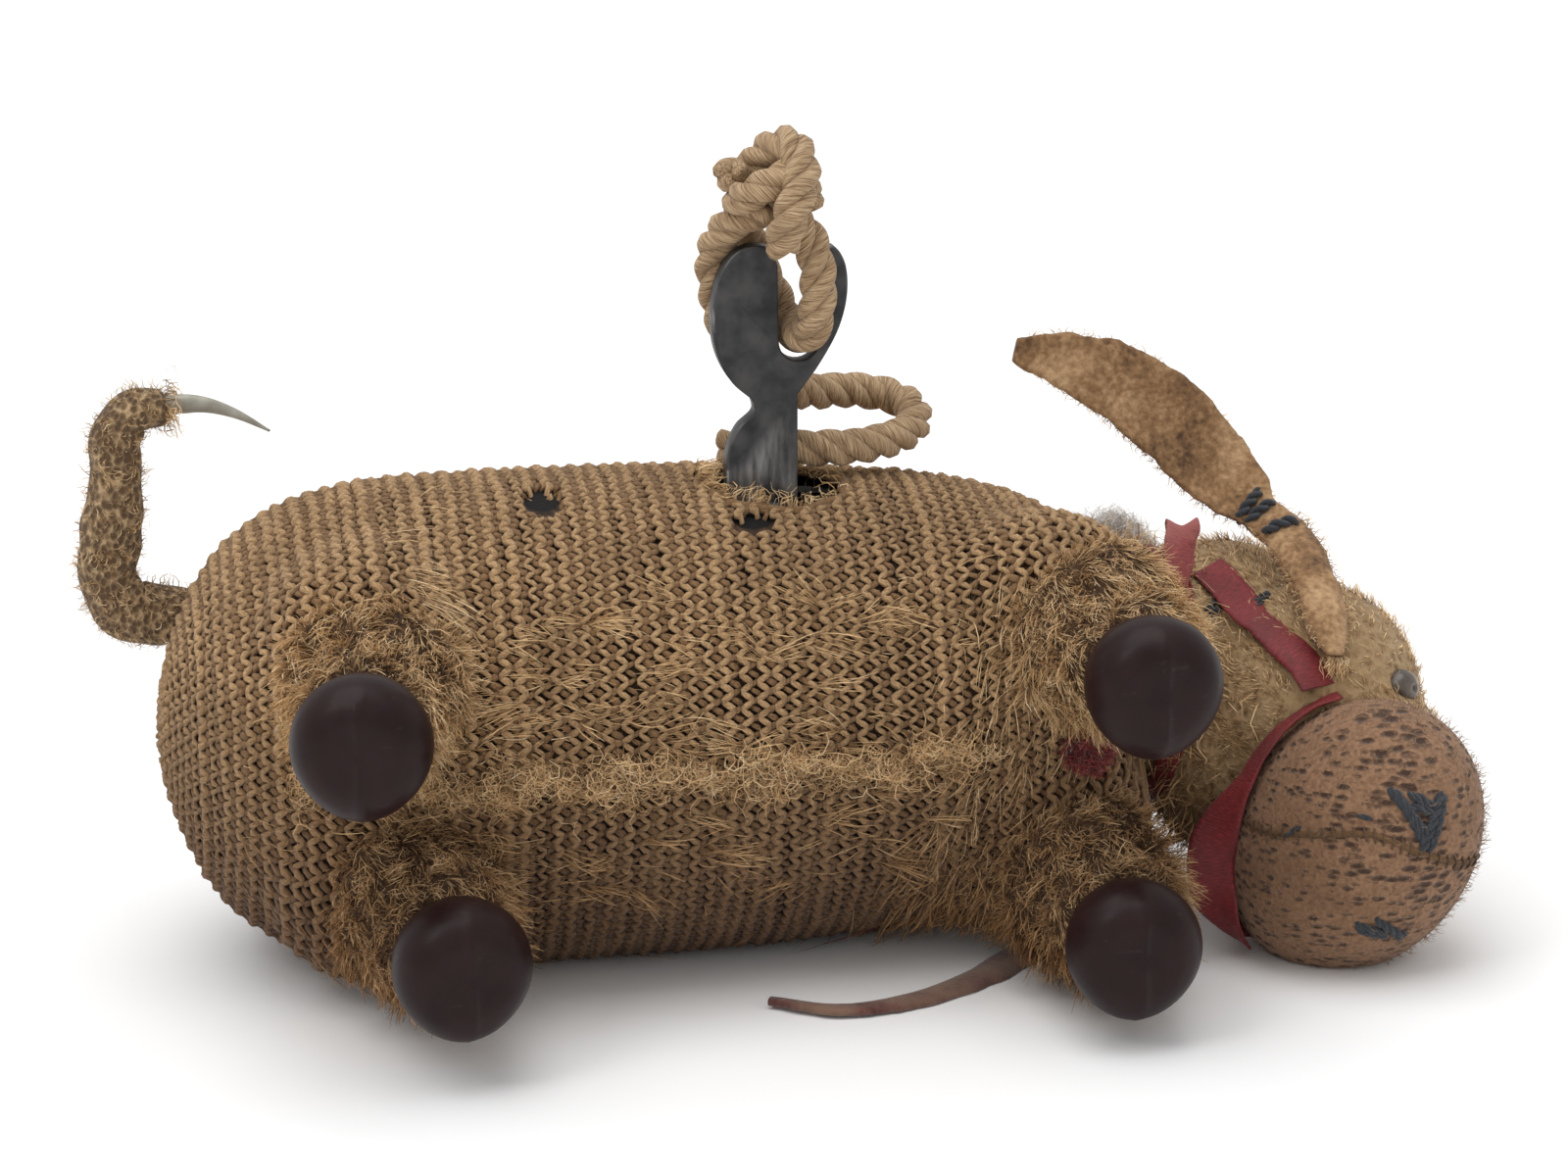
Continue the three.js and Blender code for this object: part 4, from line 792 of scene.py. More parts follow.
# Its back is a shallow dish that sits just under the body's knit.
for vertex in head.data.vertices:
    x, y, z = np.array(vertex.co) * 1000 - DRAWN_SHIFT
    from_axis = math.hypot(y / 0.96, z - MID_Z)
    if from_axis < 20:
        dish = np.interp(from_axis, [0.1, 8.6, 14.2, 18.2, 20], [50.4, 49.4, 46.5, 42.0, 39.0]) - 1.3
        vertex.co.x += max(dish - x, 0.0) / 1000
    vertex.co.z = max(vertex.co.z, 0.0003)
head_cloth = Finish("worn plush of the head", Roughness=0.95, Sheen_Weight=0.1, Sheen_Roughness=0.5)
knit_rows = 0.62 - head_cloth.node(
    "ShaderNodeTexVoronoi", {}, {"Vector": head_cloth.stretched((1.1, 1.0, 0.75)), "Scale": 950.0},
                                   "Distance")
thread = head_cloth.noise(2400, 3)
rubbed = head_cloth.noise(110, 4)
# The loop centres are sunk and painted dark: painted shade in the knit's pits.
head_tone = head_cloth.ramp(knit_rows + (thread - 0.5) * 0.35, (0.1, (0.37, 0.25, 0.128)),
                            (0.36, (0.27, 0.168, 0.077)),
                            (0.62, (0.09, 0.045, 0.02)))
head_colour = head_cloth.mix(rubbed.clip(0.4, 0.68) * 0.5, head_tone, (0.27, 0.165, 0.078))
head_cloth.surface(head_colour, height=1 - knit_rows + thread * 0.4, depth=0.0004)
settle(head, head_cloth.material, "toy_frame", ["head_cover"])
chance = np.random.default_rng(50)
roots, out = scatter(head, 6000, chance)
ruff = np.exp(-((roots[:, 0] - 53) / 4.5) ** 2) > chance.random(len(roots))
fibres("neck_ruff", roots[ruff], out[ruff], 4.0, 0.13, [-0.4, -0.2, -0.6], 0.5, (0.5, 6), pile.material,
       "toy_frame", 52)

MUZZLE = ((68.9, -18.2, 12.1), (12.6, 15.0, 12.0), NOSE)
muzzle = stuffed("muzzle_form", [MUZZLE], 0.0006)
for vertex in muzzle.data.vertices:
    vertex.co.z = max(vertex.co.z, 0.0001)
muzzle_knit = Finish("worn pinkish muzzle knit", Roughness=0.92, Sheen_Weight=0.08, Sheen_Roughness=0.5)
loops = muzzle_knit.node("ShaderNodeTexVoronoi", {},
        {"Vector": muzzle_knit.stretched((0.5, 0.75, 1.5)), "Scale": 980.0}, "Distance")
lint = muzzle_knit.noise(2200, 4)
worn = muzzle_knit.noise(95, 3)
pits = 1 - (loops + (lint - 0.5) * 0.35 + (worn - 0.5) * 0.7).clip(0.12, 0.42)
# The pits are sunk and painted near black: painted shade in them.
muzzle_tone = muzzle_knit.mix(pits, muzzle_knit.ramp(
    lint, (0.3, (0.18, 0.092, 0.047)), (0.7, (0.31, 0.175, 0.098))), (0.055, 0.025, 0.013))
muzzle_colour = muzzle_knit.mix(worn.clip(0.48, 0.72) * 0.5, muzzle_tone, (0.15, 0.076, 0.034))
muzzle_knit.surface(muzzle_colour, height=1 - pits + lint * 0.3, depth=0.00045)
settle(muzzle, muzzle_knit.material, "toy_frame", ["muzzle"])

# A sewn seam crosses the muzzle; the nose and mouth are a few long stitches of blue-black
# wool. Guide points are laid onto the cloth from inside it.
MUZZLE_HEART = np.array(MUZZLE[0])
HEAD_HEART = np.array([62.0, 2.0, 23.0])


def laid(guides, lift, heart=HEAD_HEART, shapes=(head, muzzle), normals=None):
    """Points of the cloth under guide points, seen from an inner point, a little outside it."""
    points = []
    for guide in np.asarray(guides, float):
        way = unit(guide - heart)
        start = Vector(at(heart + 60 * way))
        found = []
        for shape in shapes:
            hit, place, normal, _ = shape.ray_cast(start, Vector(-way))
            if hit:
                found.append(((place - start).length, np.array(place) * 1000 - DRAWN_SHIFT,
                              np.array(normal)))
        if found:
            nearest = min(found, key=lambda f: f[0])
            points.append(nearest[1] + lift * way)
            if normals is not None:
                normals.append(unit(nearest[2] + 0.4 * way).tolist())
    return np.array(points)


def stitches(name, pairs, finish, radius=0.26, gap=0.42, rows=3, heart=MUZZLE_HEART, shapes=(muzzle,),
             seed=0):
    """Rows of long stitches between pairs of points, dipping into the cloth at both ends."""
    chance = np.random.default_rng(seed)
    parts = []
    for first, last in pairs:
        first, last = np.array(first, float), np.array(last, float)
        across = unit(np.cross(last - first, (first + last) / 2 - heart))
        for row in range(rows):
            shift = (row - (rows - 1) / 2) * gap * across
            jog = 0.35 * chance.standard_normal((2, 3))
            t = np.linspace(0, 1, 12)[:, None]
            path = laid((first + shift + jog[0]) * (1 - t) + (last + shift + jog[1]) * t, 0.12, heart,
                        shapes)
            out = unit(path - heart)
            path = path - out * 0.55 * np.abs(2 * t - 1) ** 6
            parts.append(plied(smooth_line(path.tolist(), 3), 2, radius * 0.55, radius * 0.8, 2.4, 6))
    made = gathered(parts)
    return make_piece(name, *made[:2], finish, "toy_frame", slot="ribbon", grain=made[2])


darning = Finish("blue-black darning wool", Roughness=0.9, Sheen_Weight=0.2, Sheen_Roughness=0.5)
darn = darning.noise(3.0, 3, darning.stretched((1.6, 1.6, 3.0), darning.attribute("grain", "Vector")))
darning.surface(darning.ramp(darn, (0.3, (0.008, 0.010, 0.014)), (0.7, (0.045, 0.052, 0.065))),
                height=darn, depth=0.0002)
stitches("nose_stitches", [
    ((69.0, -29.1, 20.4), (72.5, -30.5, 15.0)), ((74.4, -28.8, 19.8), (72.5, -30.5, 14.4)),
    ((71.0, -29.4, 19.4), (73.2, -29.7, 18.2))], darning.material, 0.36, 0.55, 3, seed=61)
stitches("mouth_stitches", [((66.0, -29.2, 6.3), (69.6, -28.6, 5.3)),
                            ((67.8, -29.0, 6.6), (71.2, -28.0, 4.6))],
         darning.material, 0.36, 0.5, 2, seed=62)
stitches("muzzle_marks", [((59.9, -25.6, 15.2), (61.0, -26.4, 15.7)),
                          ((65.2, -29.0, 17.5), (66.2, -29.5, 17.0))],
         darning.material, 0.22, 0.3, 1, seed=63)
seam_guides = smooth_line([(55.6, -17.0, 15.4), (58.1, -22.9, 14.8), (62.6, -28.0, 15.8),
                           (66.9, -30.0, 16.2),
                           (71.0, -30.6, 14.6), (75.5, -28.6, 12.5), (79.0, -24.0, 11.5)], 14)
seam_path = laid(seam_guides, -0.12, MUZZLE_HEART, (muzzle,))
seam_parts = [tube(seam_path, 0.36, 8, 1.4)]
ahead, side, up = frames_along(seam_path)
for k in range(4, len(seam_path) - 4, 3):
    away = unit(seam_path[k] - MUZZLE_HEART)
    across = unit(np.cross(ahead[k], away))
    hump = np.linspace(-1, 1, 7)[:, None]
    over = seam_path[k] + hump * (0.85 * across + 0.25 * ahead[k]) + (0.42 - 0.62 * hump ** 2) * away
    seam_parts.append(tube(over, 0.13, 5, 1.0))
seam_made = gathered(seam_parts)
make_piece("muzzle_seam", *seam_made[:2], yarn.material, "toy_frame", slot="muzzle_knit",
           grain=seam_made[2])
lint_fibre = Finish("pale muzzle lint", Roughness=0.8, Sheen_Weight=0.3, Sheen_Roughness=0.4)
lint_along = lint_fibre.attribute("along")
# Each lint fibre is darker towards its root: painted shade among the fibres.
lint_fibre.surface(lint_fibre.mix(lint_along.clip(0.0, 0.8), (0.15, 0.08, 0.044), (0.36, 0.225, 0.13)))
chance = np.random.default_rng(55)
roots, out = scatter(muzzle, 3400, chance)
fibres("muzzle_lint", roots, out, 0.9, 0.07, [[0.7, 0.2, 0.3]], 0.7, (0.15, 5), lint_fibre.material,
       "toy_frame", 56,
       slot="muzzle_knit")

# ---- eyes ----
# Two dull glass beads, sunk in the plush under a lifted brow.
glass = Finish("dull brown bead", Coat_Weight=0.5, Coat_Roughness=0.15)
clouding = glass.noise(900, 4)
haze = glass.noise(300, 3)
glass.surface(glass.mix(haze.clip(0.42, 0.7) * 0.6, glass.ramp(
    clouding, (0.3, (0.018, 0.012, 0.008)), (0.7, (0.075, 0.05, 0.035))), (0.16, 0.125, 0.09)),
              0.3 + 0.3 * clouding,
    clouding, 0.00003)
for side_name, place in {"right": (75.2, -13.2, 26.0), "left": (79.6, -3.8, 13.8)}.items():
    bpy.ops.object.select_all(action="DESELECT")
    bpy.ops.mesh.primitive_uv_sphere_add(radius=0.0019, segments=40, ring_count=24)
    bead = bpy.context.object
    bead.name = f"{side_name}_bead_eye"
    place = laid([place], -0.5)[0]
    outward = unit(place - HEAD_HEART)
    for vertex in bead.data.vertices:
        high = vertex.co.normalized().z
        vertex.co *= 1 - 0.10 * max(high, 0.0) ** 3 - 0.30 * math.exp(-((1 - high) / 0.012))
    turn = Vector((0, 0, 1)).rotation_difference(Vector(outward)).to_matrix().to_4x4()
    bead.data.transform(Matrix.Translation(Vector(at(place))) @ turn)
    bpy.ops.object.shade_smooth()
    settle(bead, glass.material, "toy_frame", [f"{side_name}_eye"])

# ---- halter ----
# A narrow woven ribbon, dark red and worn: a noseband, a strap up each cheek, a collar
# round the throat, and one faded loop of its bow standing by the right ear.
silk = Finish("worn dark red ribbon", Roughness=0.62, Sheen_Weight=0.08, Sheen_Roughness=0.35)
ribbed = silk.attribute("grain", "Vector")
rib = silk.noise(1.0, 2, silk.stretched((7.0, 1.2, 1.0), ribbed))
fading = silk.noise(0.16, 4, ribbed)
silk_colour = silk.mix(fading.clip(0.45, 0.75) * 0.55, silk.ramp(
    rib, (0.3, (0.11, 0.007, 0.009)), (0.7, (0.26, 0.020, 0.024))), (0.05, 0.005, 0.005))
silk.surface(silk_colour, height=rib, depth=0.00012)
pink_silk = Finish("faded pink ribbon", Roughness=0.7, Sheen_Weight=0.1, Sheen_Roughness=0.35)
pink_grain = pink_silk.attribute("grain", "Vector")
pink_rib = pink_silk.noise(1.0, 2, pink_silk.stretched((7.0, 1.2, 1.0), pink_grain))
pink_fade = pink_silk.noise(0.2, 4, pink_grain)
pink_silk.surface(pink_silk.mix(pink_fade.clip(0.45, 0.7), pink_silk.ramp(
    pink_rib, (0.3, (0.24, 0.040, 0.042)), (0.7, (0.40, 0.09, 0.085))), (0.30, 0.11, 0.095)),
                  height=pink_rib, depth=0.00012)


def strip(name, line, side, width, thick, finish, stands_for, slot, cup=0.0, ragged=0.0, seed=0,
          columns=10):
    """A flat band along a line. Side is the way across it, and cup lifts or drops its edges."""
    chance = np.random.default_rng(seed)
    line = np.asarray(line, float)
    n = len(line)
    ahead = unit(np.gradient(line, axis=0))
    side = np.broadcast_to(side, (n, 3))
    side = unit(side - (side * ahead).sum(1)[:, None] * ahead)
    face = unit(np.cross(ahead, side))
    width = np.broadcast_to(width, n)
    rough = np.convolve(chance.standard_normal((2, n + 8)).ravel(), np.ones(4) / 4,
                        "same").reshape(2, -1)[:, :n]
    u = np.linspace(-1, 1, columns + 1)
    over = u[None, :] * width[:, None] / 2
    over = over + np.where(u > 0, 1, -1) * np.abs(u) ** 6 * ragged * np.where(u[None, :] > 0,
            rough[0][:, None], rough[1][:, None])
    rise = np.broadcast_to(cup, n)[:, None] * (u ** 2)[None, :]
    edge = thick / 2 * (1 - 0.55 * np.abs(u) ** 8)[None, :]
    run = np.concatenate([[0], np.cumsum(np.linalg.norm(np.diff(line, axis=0), axis=1))])
    sides = []
    grains = []
    for sign, order in ((1, slice(None)), (-1, slice(None, None, -1))):
        layer = line[:, None] + over[..., None] * side[:, None] + (rise + sign
                * edge)[..., None] * face[:, None]
        sides.append(layer[:, order])
        mark = np.stack([np.broadcast_to(run[:, None], over.shape), over,
                         np.full(over.shape, float(sign))], axis=2)
        grains.append(mark[:, order])
    points = np.concatenate(sides, axis=1)
    grain = np.concatenate(grains, axis=1)
    m = points.shape[1]
    faces = ring_walls(n, m)
    for first in (0, (n - 1) * m):
        for k in range(columns):
            quad = [first + k, first + k + 1, first + m - 2 - k, first + m - 1 - k]
            faces.append(quad if first else quad[::-1])
    points = points.reshape(-1, 3)
    points[:, 2] = np.maximum(points[:, 2], 0.12)
    piece = make_piece(name, points, faces, finish, "toy_frame", stands_for, slot,
                       grain=grain.reshape(-1, 3))
    bpy.ops.object.select_all(action="DESELECT")
    piece.select_set(True)
    bpy.context.view_layer.objects.active = piece
    bpy.ops.object.mode_set(mode="EDIT")
    bpy.ops.mesh.select_all(action="SELECT")
    bpy.ops.mesh.normals_make_consistent(inside=False)
    bpy.ops.object.mode_set(mode="OBJECT")
    return piece


def wound(heart, axis, start, first, last, steps, lift):
    """A line round the head or neck, from one part of a turn to another."""
    heart, axis = np.array(heart, float), unit(np.array(axis, float))
    start = np.array(start, float)
    start = unit(start - axis * (start @ axis))
    turn = np.linspace(first, last, steps)[:, None] * 2 * np.pi
    out = np.cos(turn) * start + np.sin(turn) * np.cross(axis, start)
    normals = []
    line = laid(heart + out, lift, heart, normals=normals)
    line, normals = smooth_line(line.tolist(), 4), smooth_line(normals, 4)
    side = np.cross(unit(np.gradient(line, axis=0)), normals)
    for _ in range(10):
        side = unit(side + np.roll(side, 1, axis=0) * 0.5 + np.roll(side, -1, axis=0) * 0.5)
    return line, side


head_courses = []
NOSE_MIDDLE = np.array([65.6, -16.4, 13.4])
NOSE_WAY = [0.145, -0.99, 0.044]
line, side = wound(NOSE_MIDDLE, NOSE_WAY, [0.2, 0, -1], 0.44, 0.88, 22, 0.95)
part = np.linspace(0, 1, len(line))
loose = 0.72 * (np.clip((part - 0.42) / 0.3, 0, 1) * np.clip((1.02 - part) / 0.22, 0, 1))[:, None]
off = unit(line - NOSE_MIDDLE)
side = np.where(((side * [NOSE_WAY]).sum(1) < 0)[:, None], -side, side)
side = unit((1 - loose) * side - loose * off)
line = line + loose * 1.9 * off
strip("noseband_ribbon", line, side, np.interp(part, [0, 0.3, 0.7, 0.85, 1], [1.4, 3.2, 5.0, 4.6, 3.0]),
      0.35, silk.material,
      ["noseband"], "ribbon", 0.25 * np.sin(9 * part), 0.10, 71)
head_courses.append(line)
line, side = wound([52.3, 4.2, 23.5], [1, 0.05, -0.12], [0, 0.3, -1], 0.03, 0.97, 34, 0.6)
part = np.linspace(0, 1, len(line))
strip("collar_ribbon", line, side, 3.0 + 0.3 * np.sin(13 * part), 0.35, silk.material, ["collar"],
      "ribbon",
      0.2 * np.sin(17 * part), 0.10, 72)
head_courses.append(line)
for number, (side_name, guides, wide) in enumerate((
        ("right", [(65.8, -14.8, 27.0), (65.0, -12.6, 28.6), (63.3, -9.6, 30.4), (61.5, -4.5, 32.2),
                   (59.4, 0.6, 34.4), (57.4, 3.6, 35.6)], 4.2),
        ("left", [(60.4, -9.0, 8.6), (59.6, -5.0, 7.6), (58.6, -0.4, 7.6), (57.4, 3.4, 9.6)], 3.0))):
    line = laid(smooth_line(guides, 6), 0.6)
    line = smooth_line(line[::3].tolist() + line[-1:].tolist(), 8)
    side = unit(np.cross(np.gradient(line, axis=0), line - HEAD_HEART))
    part = np.linspace(0, 1, len(line))
    strip(f"{side_name}_cheek_ribbon", line, side, wide, 0.35, silk.material,
          [f"{side_name}_cheek_strap"], "ribbon",
          0.3 * np.sin(5 * part), 0.10, 73 + number)
    head_courses.append(line)
head_bands = np.vstack(head_courses)
bow_line = smooth_line([(53.6, -5.6, 35.2), (53.0, -6.6, 38.0), (53.2, -6.4, 40.8), (53.9, -5.2, 41.9),
                        (54.2, -4.2, 40.2),
                        (54.0, -4.6, 36.4)], 12)
part = np.linspace(0, 1, len(bow_line))
strip("bow_loop", bow_line, [0.9, 0.4, 0.05], 3.6 - 1.6 * np.abs(2 * part - 1) ** 3, 0.35,
      pink_silk.material, ["halter_bow"],
      "ribbon", 0.25 * np.sin(8 * part), 0.12, 75)
knot_turn = np.linspace(0, 2 * np.pi * 1.1, 40)
knot_line = np.array([53.8, -5.0, 34.9]) + np.stack(
    [1.1 * np.cos(knot_turn), 1.3 * np.sin(knot_turn), 0.35 * np.sin(2 * knot_turn)], axis=1)
strip("bow_knot", knot_line, [0.1, 0.1, 1.0], 2.0, 0.4, silk.material, (), "ribbon", -0.35, 0.15, 76)

# ---- ears ----
# Long felt leaves. The right one is darned on at its root with thick blue-black wool and
# stands up, with a flap turned down over the temple. The left one lies along the table.
felt = Finish("worn tan felt", Roughness=0.95, Sheen_Weight=0.1, Sheen_Roughness=0.5)
felt_grain = felt.attribute("grain", "Vector")
felt_side = felt.node("ShaderNodeSeparateXYZ", {}, {"Vector": felt_grain}, "Z")
nap = felt.noise(1500, 5)
blot = felt.noise(150, 4)
outside = felt.ramp(nap + (blot - 0.5) * 1.5, (0.15, (0.08, 0.038, 0.017)), (0.5, (0.26, 0.142, 0.062)),
                    (0.9, (0.50, 0.32, 0.17)))
inside = felt.ramp(nap + (blot - 0.5) * 0.8, (0.25, (0.12, 0.035, 0.026)), (0.6, (0.24, 0.085, 0.06)),
                   (0.8, (0.34, 0.16, 0.11)))
felt.surface(felt.mix(felt_side.clip(-0.2, 0.2), outside, inside), height=nap, depth=0.00025)
# The left ear's felt has the red lining's hue, painted darker: painted shade where it lies under the body
# and head.
lining_felt_in_painted_shade = Finish("maroon felt", Roughness=0.93, Sheen_Weight=0.3, Sheen_Roughness=0.5)
dark_nap = lining_felt_in_painted_shade.noise(1500, 5)
dark_blot = lining_felt_in_painted_shade.noise(180, 4)
lining_felt_in_painted_shade.surface(lining_felt_in_painted_shade.mix(dark_blot.clip(0.4, 0.62), lining_felt_in_painted_shade.ramp(
    dark_nap, (0.3, (0.055, 0.014, 0.012)), (0.7, (0.14, 0.045, 0.035))), (0.20, 0.115, 0.075)),
                  height=dark_nap, depth=0.00025)
EAR_RIGHT = [(67.4, -14.6, 30.2), (67.5, -11.2, 34.0), (67.2, -6.4, 37.0), (66.2, -0.6, 39.6),
             (64.0, 4.8, 41.2),
             (60.9, 7.4, 44.6), (56.2, 8.0, 49.6), (50.8, 8.0, 54.0), (45.0, 8.2, 56.7),
             (39.2, 8.4, 58.1)]
ear_line = evenly(smooth_line(EAR_RIGHT, 12), 0.45)
part = np.linspace(0, 1, len(ear_line))
ear_side = np.stack([0.8 + 0 * part, 0.45 - 0.4 * part, 0.3 + 0.4 * part], axis=1)
rise = np.clip((part - 0.36) / 0.54, 0, 1)
ear_width = np.maximum(4.6 + 1.8 * part + 3.2 * np.sin(np.pi * rise) - 40 * np.maximum(part - 0.9, 0),
                       0.9)
ear_width = ear_width * (1 - 0.25 * np.exp(-((part - 0.40) / 0.035) ** 2)) * np.clip(0.35 + part * 14,
        0, 1)
ear_cup = 0.9 * np.sin(np.pi * np.clip(part / 0.38, 0, 1)) - 0.8 * np.sin(np.pi
        * rise) + 0.25 * np.sin(25 * part)
strip("right_ear_leaf", ear_line, ear_side, ear_width, 0.75, felt.material, ["right_ear"], "ear_felt",
      ear_cup, 0.22, 77, 14)
EAR_LEFT = [(52.5, -9.5, 2.2), (46, -11.5, 1.0), (36.3, -14.5, 0.75), (29.5, -21.0, 0.75),
            (21.5, -26.5, 0.75),
            (14, -28.2, 0.75), (7.6, -24.8, 0.75)]
left_line = evenly(smooth_line(EAR_LEFT, 12), 0.5)
part = np.linspace(0, 1, len(left_line))
strip("left_ear_leaf", left_line, np.stack([0.35 + 0.2 * part, 0.9 + 0 * part, 0 * part], axis=1),
      np.maximum(5.4 - 4.6 * part ** 1.6, 0.9), 0.8, lining_felt_in_painted_shade.material, ["left_ear"], "ear_felt_dark",
      0.7 * np.sin(np.pi * part) ** 2, 0.15, 78)
edge_at = np.repeat(np.arange(2, len(ear_line) - 2), 5)
way = unit(ear_side - (ear_side * unit(np.gradient(ear_line, axis=0))).sum(1)[:, None]
           * unit(np.gradient(ear_line, axis=0)))
chance = np.random.default_rng(79)
sign = np.sign(chance.standard_normal(len(edge_at)))[:, None]
fuzz_root = ear_line[edge_at] + sign * way[edge_at] * (ear_width[edge_at, None] / 2 - 0.3)
fibres("ear_edge_fuzz", fuzz_root, unit(sign * way[edge_at]), 0.9, 0.09, [[0, 0, -0.3]], 0.2, (0.2, 5),
       pile.material,
       "toy_frame", 80, slot="ear_felt")
end_root = ear_line[0] + np.outer(chance.uniform(-1.0, 1.0, 120), way[0]) * 1.1
fibres("ear_frayed_end", end_root, unit(np.array([[0.0, -0.6, -0.75]])) + np.zeros((120, 3)), 2.0, 0.13,
       [[-0.1, -0.2, -0.9]],
       0.4, (0.3, 5), pile.material, "toy_frame", 81, slot="ear_felt")
ear_pairs = []
for k, reach_out in ((0.43, 0.42), (0.40, 0.46), (0.33, 0.38)):
    index = int(k * (len(ear_line) - 1))
    front = unit(np.cross(unit(np.gradient(ear_line, axis=0))[index], way[index]))
    ear_pairs.append((ear_line[index], way[index] * ear_width[index] * reach_out, front))
ear_parts = []
for number, (heart, arm, front) in enumerate(ear_pairs):
    for sign in (1, -1):
        t = np.linspace(-1, 1, 14)[:, None]
        lean = unit(np.gradient(ear_line, axis=0))[int(0.4 * len(ear_line))] * 0.9
        path = heart + t * (arm * 0.8 + lean * (0.6 - number * 0.5)) + sign * front * (0.75 - 0.5
                * np.abs(t) ** 4)
        ear_parts.append(plied(smooth_line(path.tolist(), 3), 2, 0.3, 0.34, 2.6, 6))
ear_made = gathered(ear_parts)
make_piece("ear_stitches", *ear_made[:2], darning.material, "toy_frame", slot="ribbon",
           grain=ear_made[2])
stitches("temple_stitches", [((58.0, -2.4, 31.6), (59.6, -1.6, 31.9)),
                             ((62.0, -3.4, 32.8), (64.2, -2.4, 33.6))],
         darning.material, 0.34, 0.5, 2, HEAD_HEART, (head,), 64)

# ---- head pile ----
# The head's pile is worn short. It is combed back between the ribbons and under the ear.
chance = np.random.default_rng(50)
roots, out = scatter(head, 17000, chance)
bare = np.zeros(len(roots), bool)
for covering, clear in ((head_bands, 2.1), (ear_line[: len(ear_line) // 2], 2.0)):
    for first in range(0, len(covering), 60):
        far = ((roots[:, None] - covering[None, first:first + 60]) ** 2).sum(2).min(1)
        bare |= far < clear ** 2
roots, out = roots[~bare], out[~bare]
fibres("head_pile", roots, out, 1.25, 0.10, unit(np.array([[-0.35, 1.0, 0.1]])), 0.72, (0.08, 4),
       pile.material,
       "toy_frame", 51)

# ---- tufts ----
# A tuft of grey-white wool on the crest of the neck, and a red one sewn to the chest.
wool = Finish("grey white mane wool", Roughness=0.9, Sheen_Weight=0.3, Sheen_Roughness=0.5)
wool_along = wool.attribute("along")
wool_patch = wool.noise(300, 3)
# Each wool fibre is darker towards its root: painted shade inside the tuft.
wool.surface(wool.mix(wool_along.clip(0.0, 0.8), (0.55, 0.50, 0.45), wool.ramp(
    wool_patch, (0.35, (0.70, 0.66, 0.61)), (0.65, (0.92, 0.89, 0.85)))))
mane = stuffed("mane_wool", [((51.5, 17.0, 32.5), (4.4, 2.2, 3.4), (1, 0, 0))], 0.0005)
settle(mane, wool.material, "toy_frame", ["mane_tuft"])
chance = np.random.default_rng(90)
roots, out = scatter(mane, 9000, chance)
fibres("mane_fluff", roots, out, 3.0, 0.10, [[-0.2, 0.2, 0.5]], 0.35, (0.7, 7), wool.material,
       "toy_frame", 91, slot="wool")
red_wool = Finish("red tuft wool", Roughness=0.9, Sheen_Weight=0.3, Sheen_Roughness=0.5)
red_along = red_wool.attribute("along")
red_patch = red_wool.noise(600, 3)
# Each wool fibre is darker towards its root: painted shade inside the tuft.
red_wool.surface(red_wool.mix(red_along.clip(0.0, 0.8), (0.09, 0.008, 0.008), red_wool.ramp(
    red_patch, (0.35, (0.20, 0.018, 0.018)), (0.65, (0.38, 0.05, 0.045)))))
tuft = stuffed("chest_tuft_heart", [((40.6, -20.0, 23.6), (1.9, 1.4, 1.8), (1, 0, 0))], 0.0004)
settle(tuft, red_wool.material, "toy_frame", ["chest_tuft"])
roots, out = scatter(tuft, 900, chance)
fibres("chest_tuft_wool", roots, out, 1.5, 0.12, [[0.2, -0.4, -0.4]], 0.4, (0.5, 6), red_wool.material,
       "toy_frame", 92,
       slot="ribbon")

# ---- tail ----
# Plain knit sewn over a bent wire. The cloth has frayed at its end, so the wire's bare
# grey tip sticks out.
tail_cloth = Finish("worn knit of the tail", Roughness=0.95, Sheen_Weight=0.1, Sheen_Roughness=0.5)
tail_loops = tail_cloth.node("ShaderNodeTexVoronoi", {},
        {"Vector": tail_cloth.stretched((1.0, 1.1, 0.75)), "Scale": 1700.0}, "Distance")
tail_lint = tail_cloth.noise(2600, 4)
tail_soil = tail_cloth.noise(200, 3)
tail_pits = (tail_loops + (tail_lint - 0.5) * 0.45 + (tail_soil - 0.5) * 0.4).clip(0.3, 0.8)
# The loop centres are sunk and painted dark: painted shade in the knit's pits.
tail_tone = tail_cloth.ramp(tail_pits, (0.0, (0.11, 0.060, 0.028)), (0.35, (0.20, 0.118, 0.052)),
                            (1.0, (0.44, 0.30, 0.16)))
tail_cloth.surface(tail_tone, height=tail_pits + tail_lint * 0.3, depth=0.0005)
TAIL = [(-44.4, 9.0, 32.6), (-48.6, 8.4, 33.8), (-52.6, 8, 34.6), (-54.4, 8, 37.4), (-54.0, 8, 43),
        (-53.3, 8, 48),
        (-53.2, 8, 52.2), (-51.6, 8, 54.9), (-48.0, 8, 55.6)]
tail_line = evenly(smooth_line(TAIL, 12), 0.4)
part = np.linspace(0, 1, len(tail_line))
_, tail_a, tail_b = frames_along(tail_line, (0, 1, 0))
tail_turn = np.linspace(0, 2 * np.pi, 41)[:-1]
girth_a = 0.5 * (5.4 - 1.4 * part)
girth_b = 0.5 * (5.9 + 1.1 * np.sin(np.pi * part) - 2.0 * part)
ripple = 1 + 0.05 * np.sin(21 * part[:, None] + 2 * tail_turn) + 0.035 * np.sin(47 * part[:, None] - 3
        * tail_turn)
closing = np.sqrt(np.clip(1 - np.clip((part - 0.985) / 0.02, 0, 1) ** 2, 0.3, 1))[:, None]
tail_points = tail_line[:, None] + (ripple * closing)[..., None] * (
    (girth_a[:, None] * np.cos(tail_turn))[..., None] * tail_a[:, None]
    + (girth_b[:, None] * np.sin(tail_turn))[..., None] * tail_b[:, None])
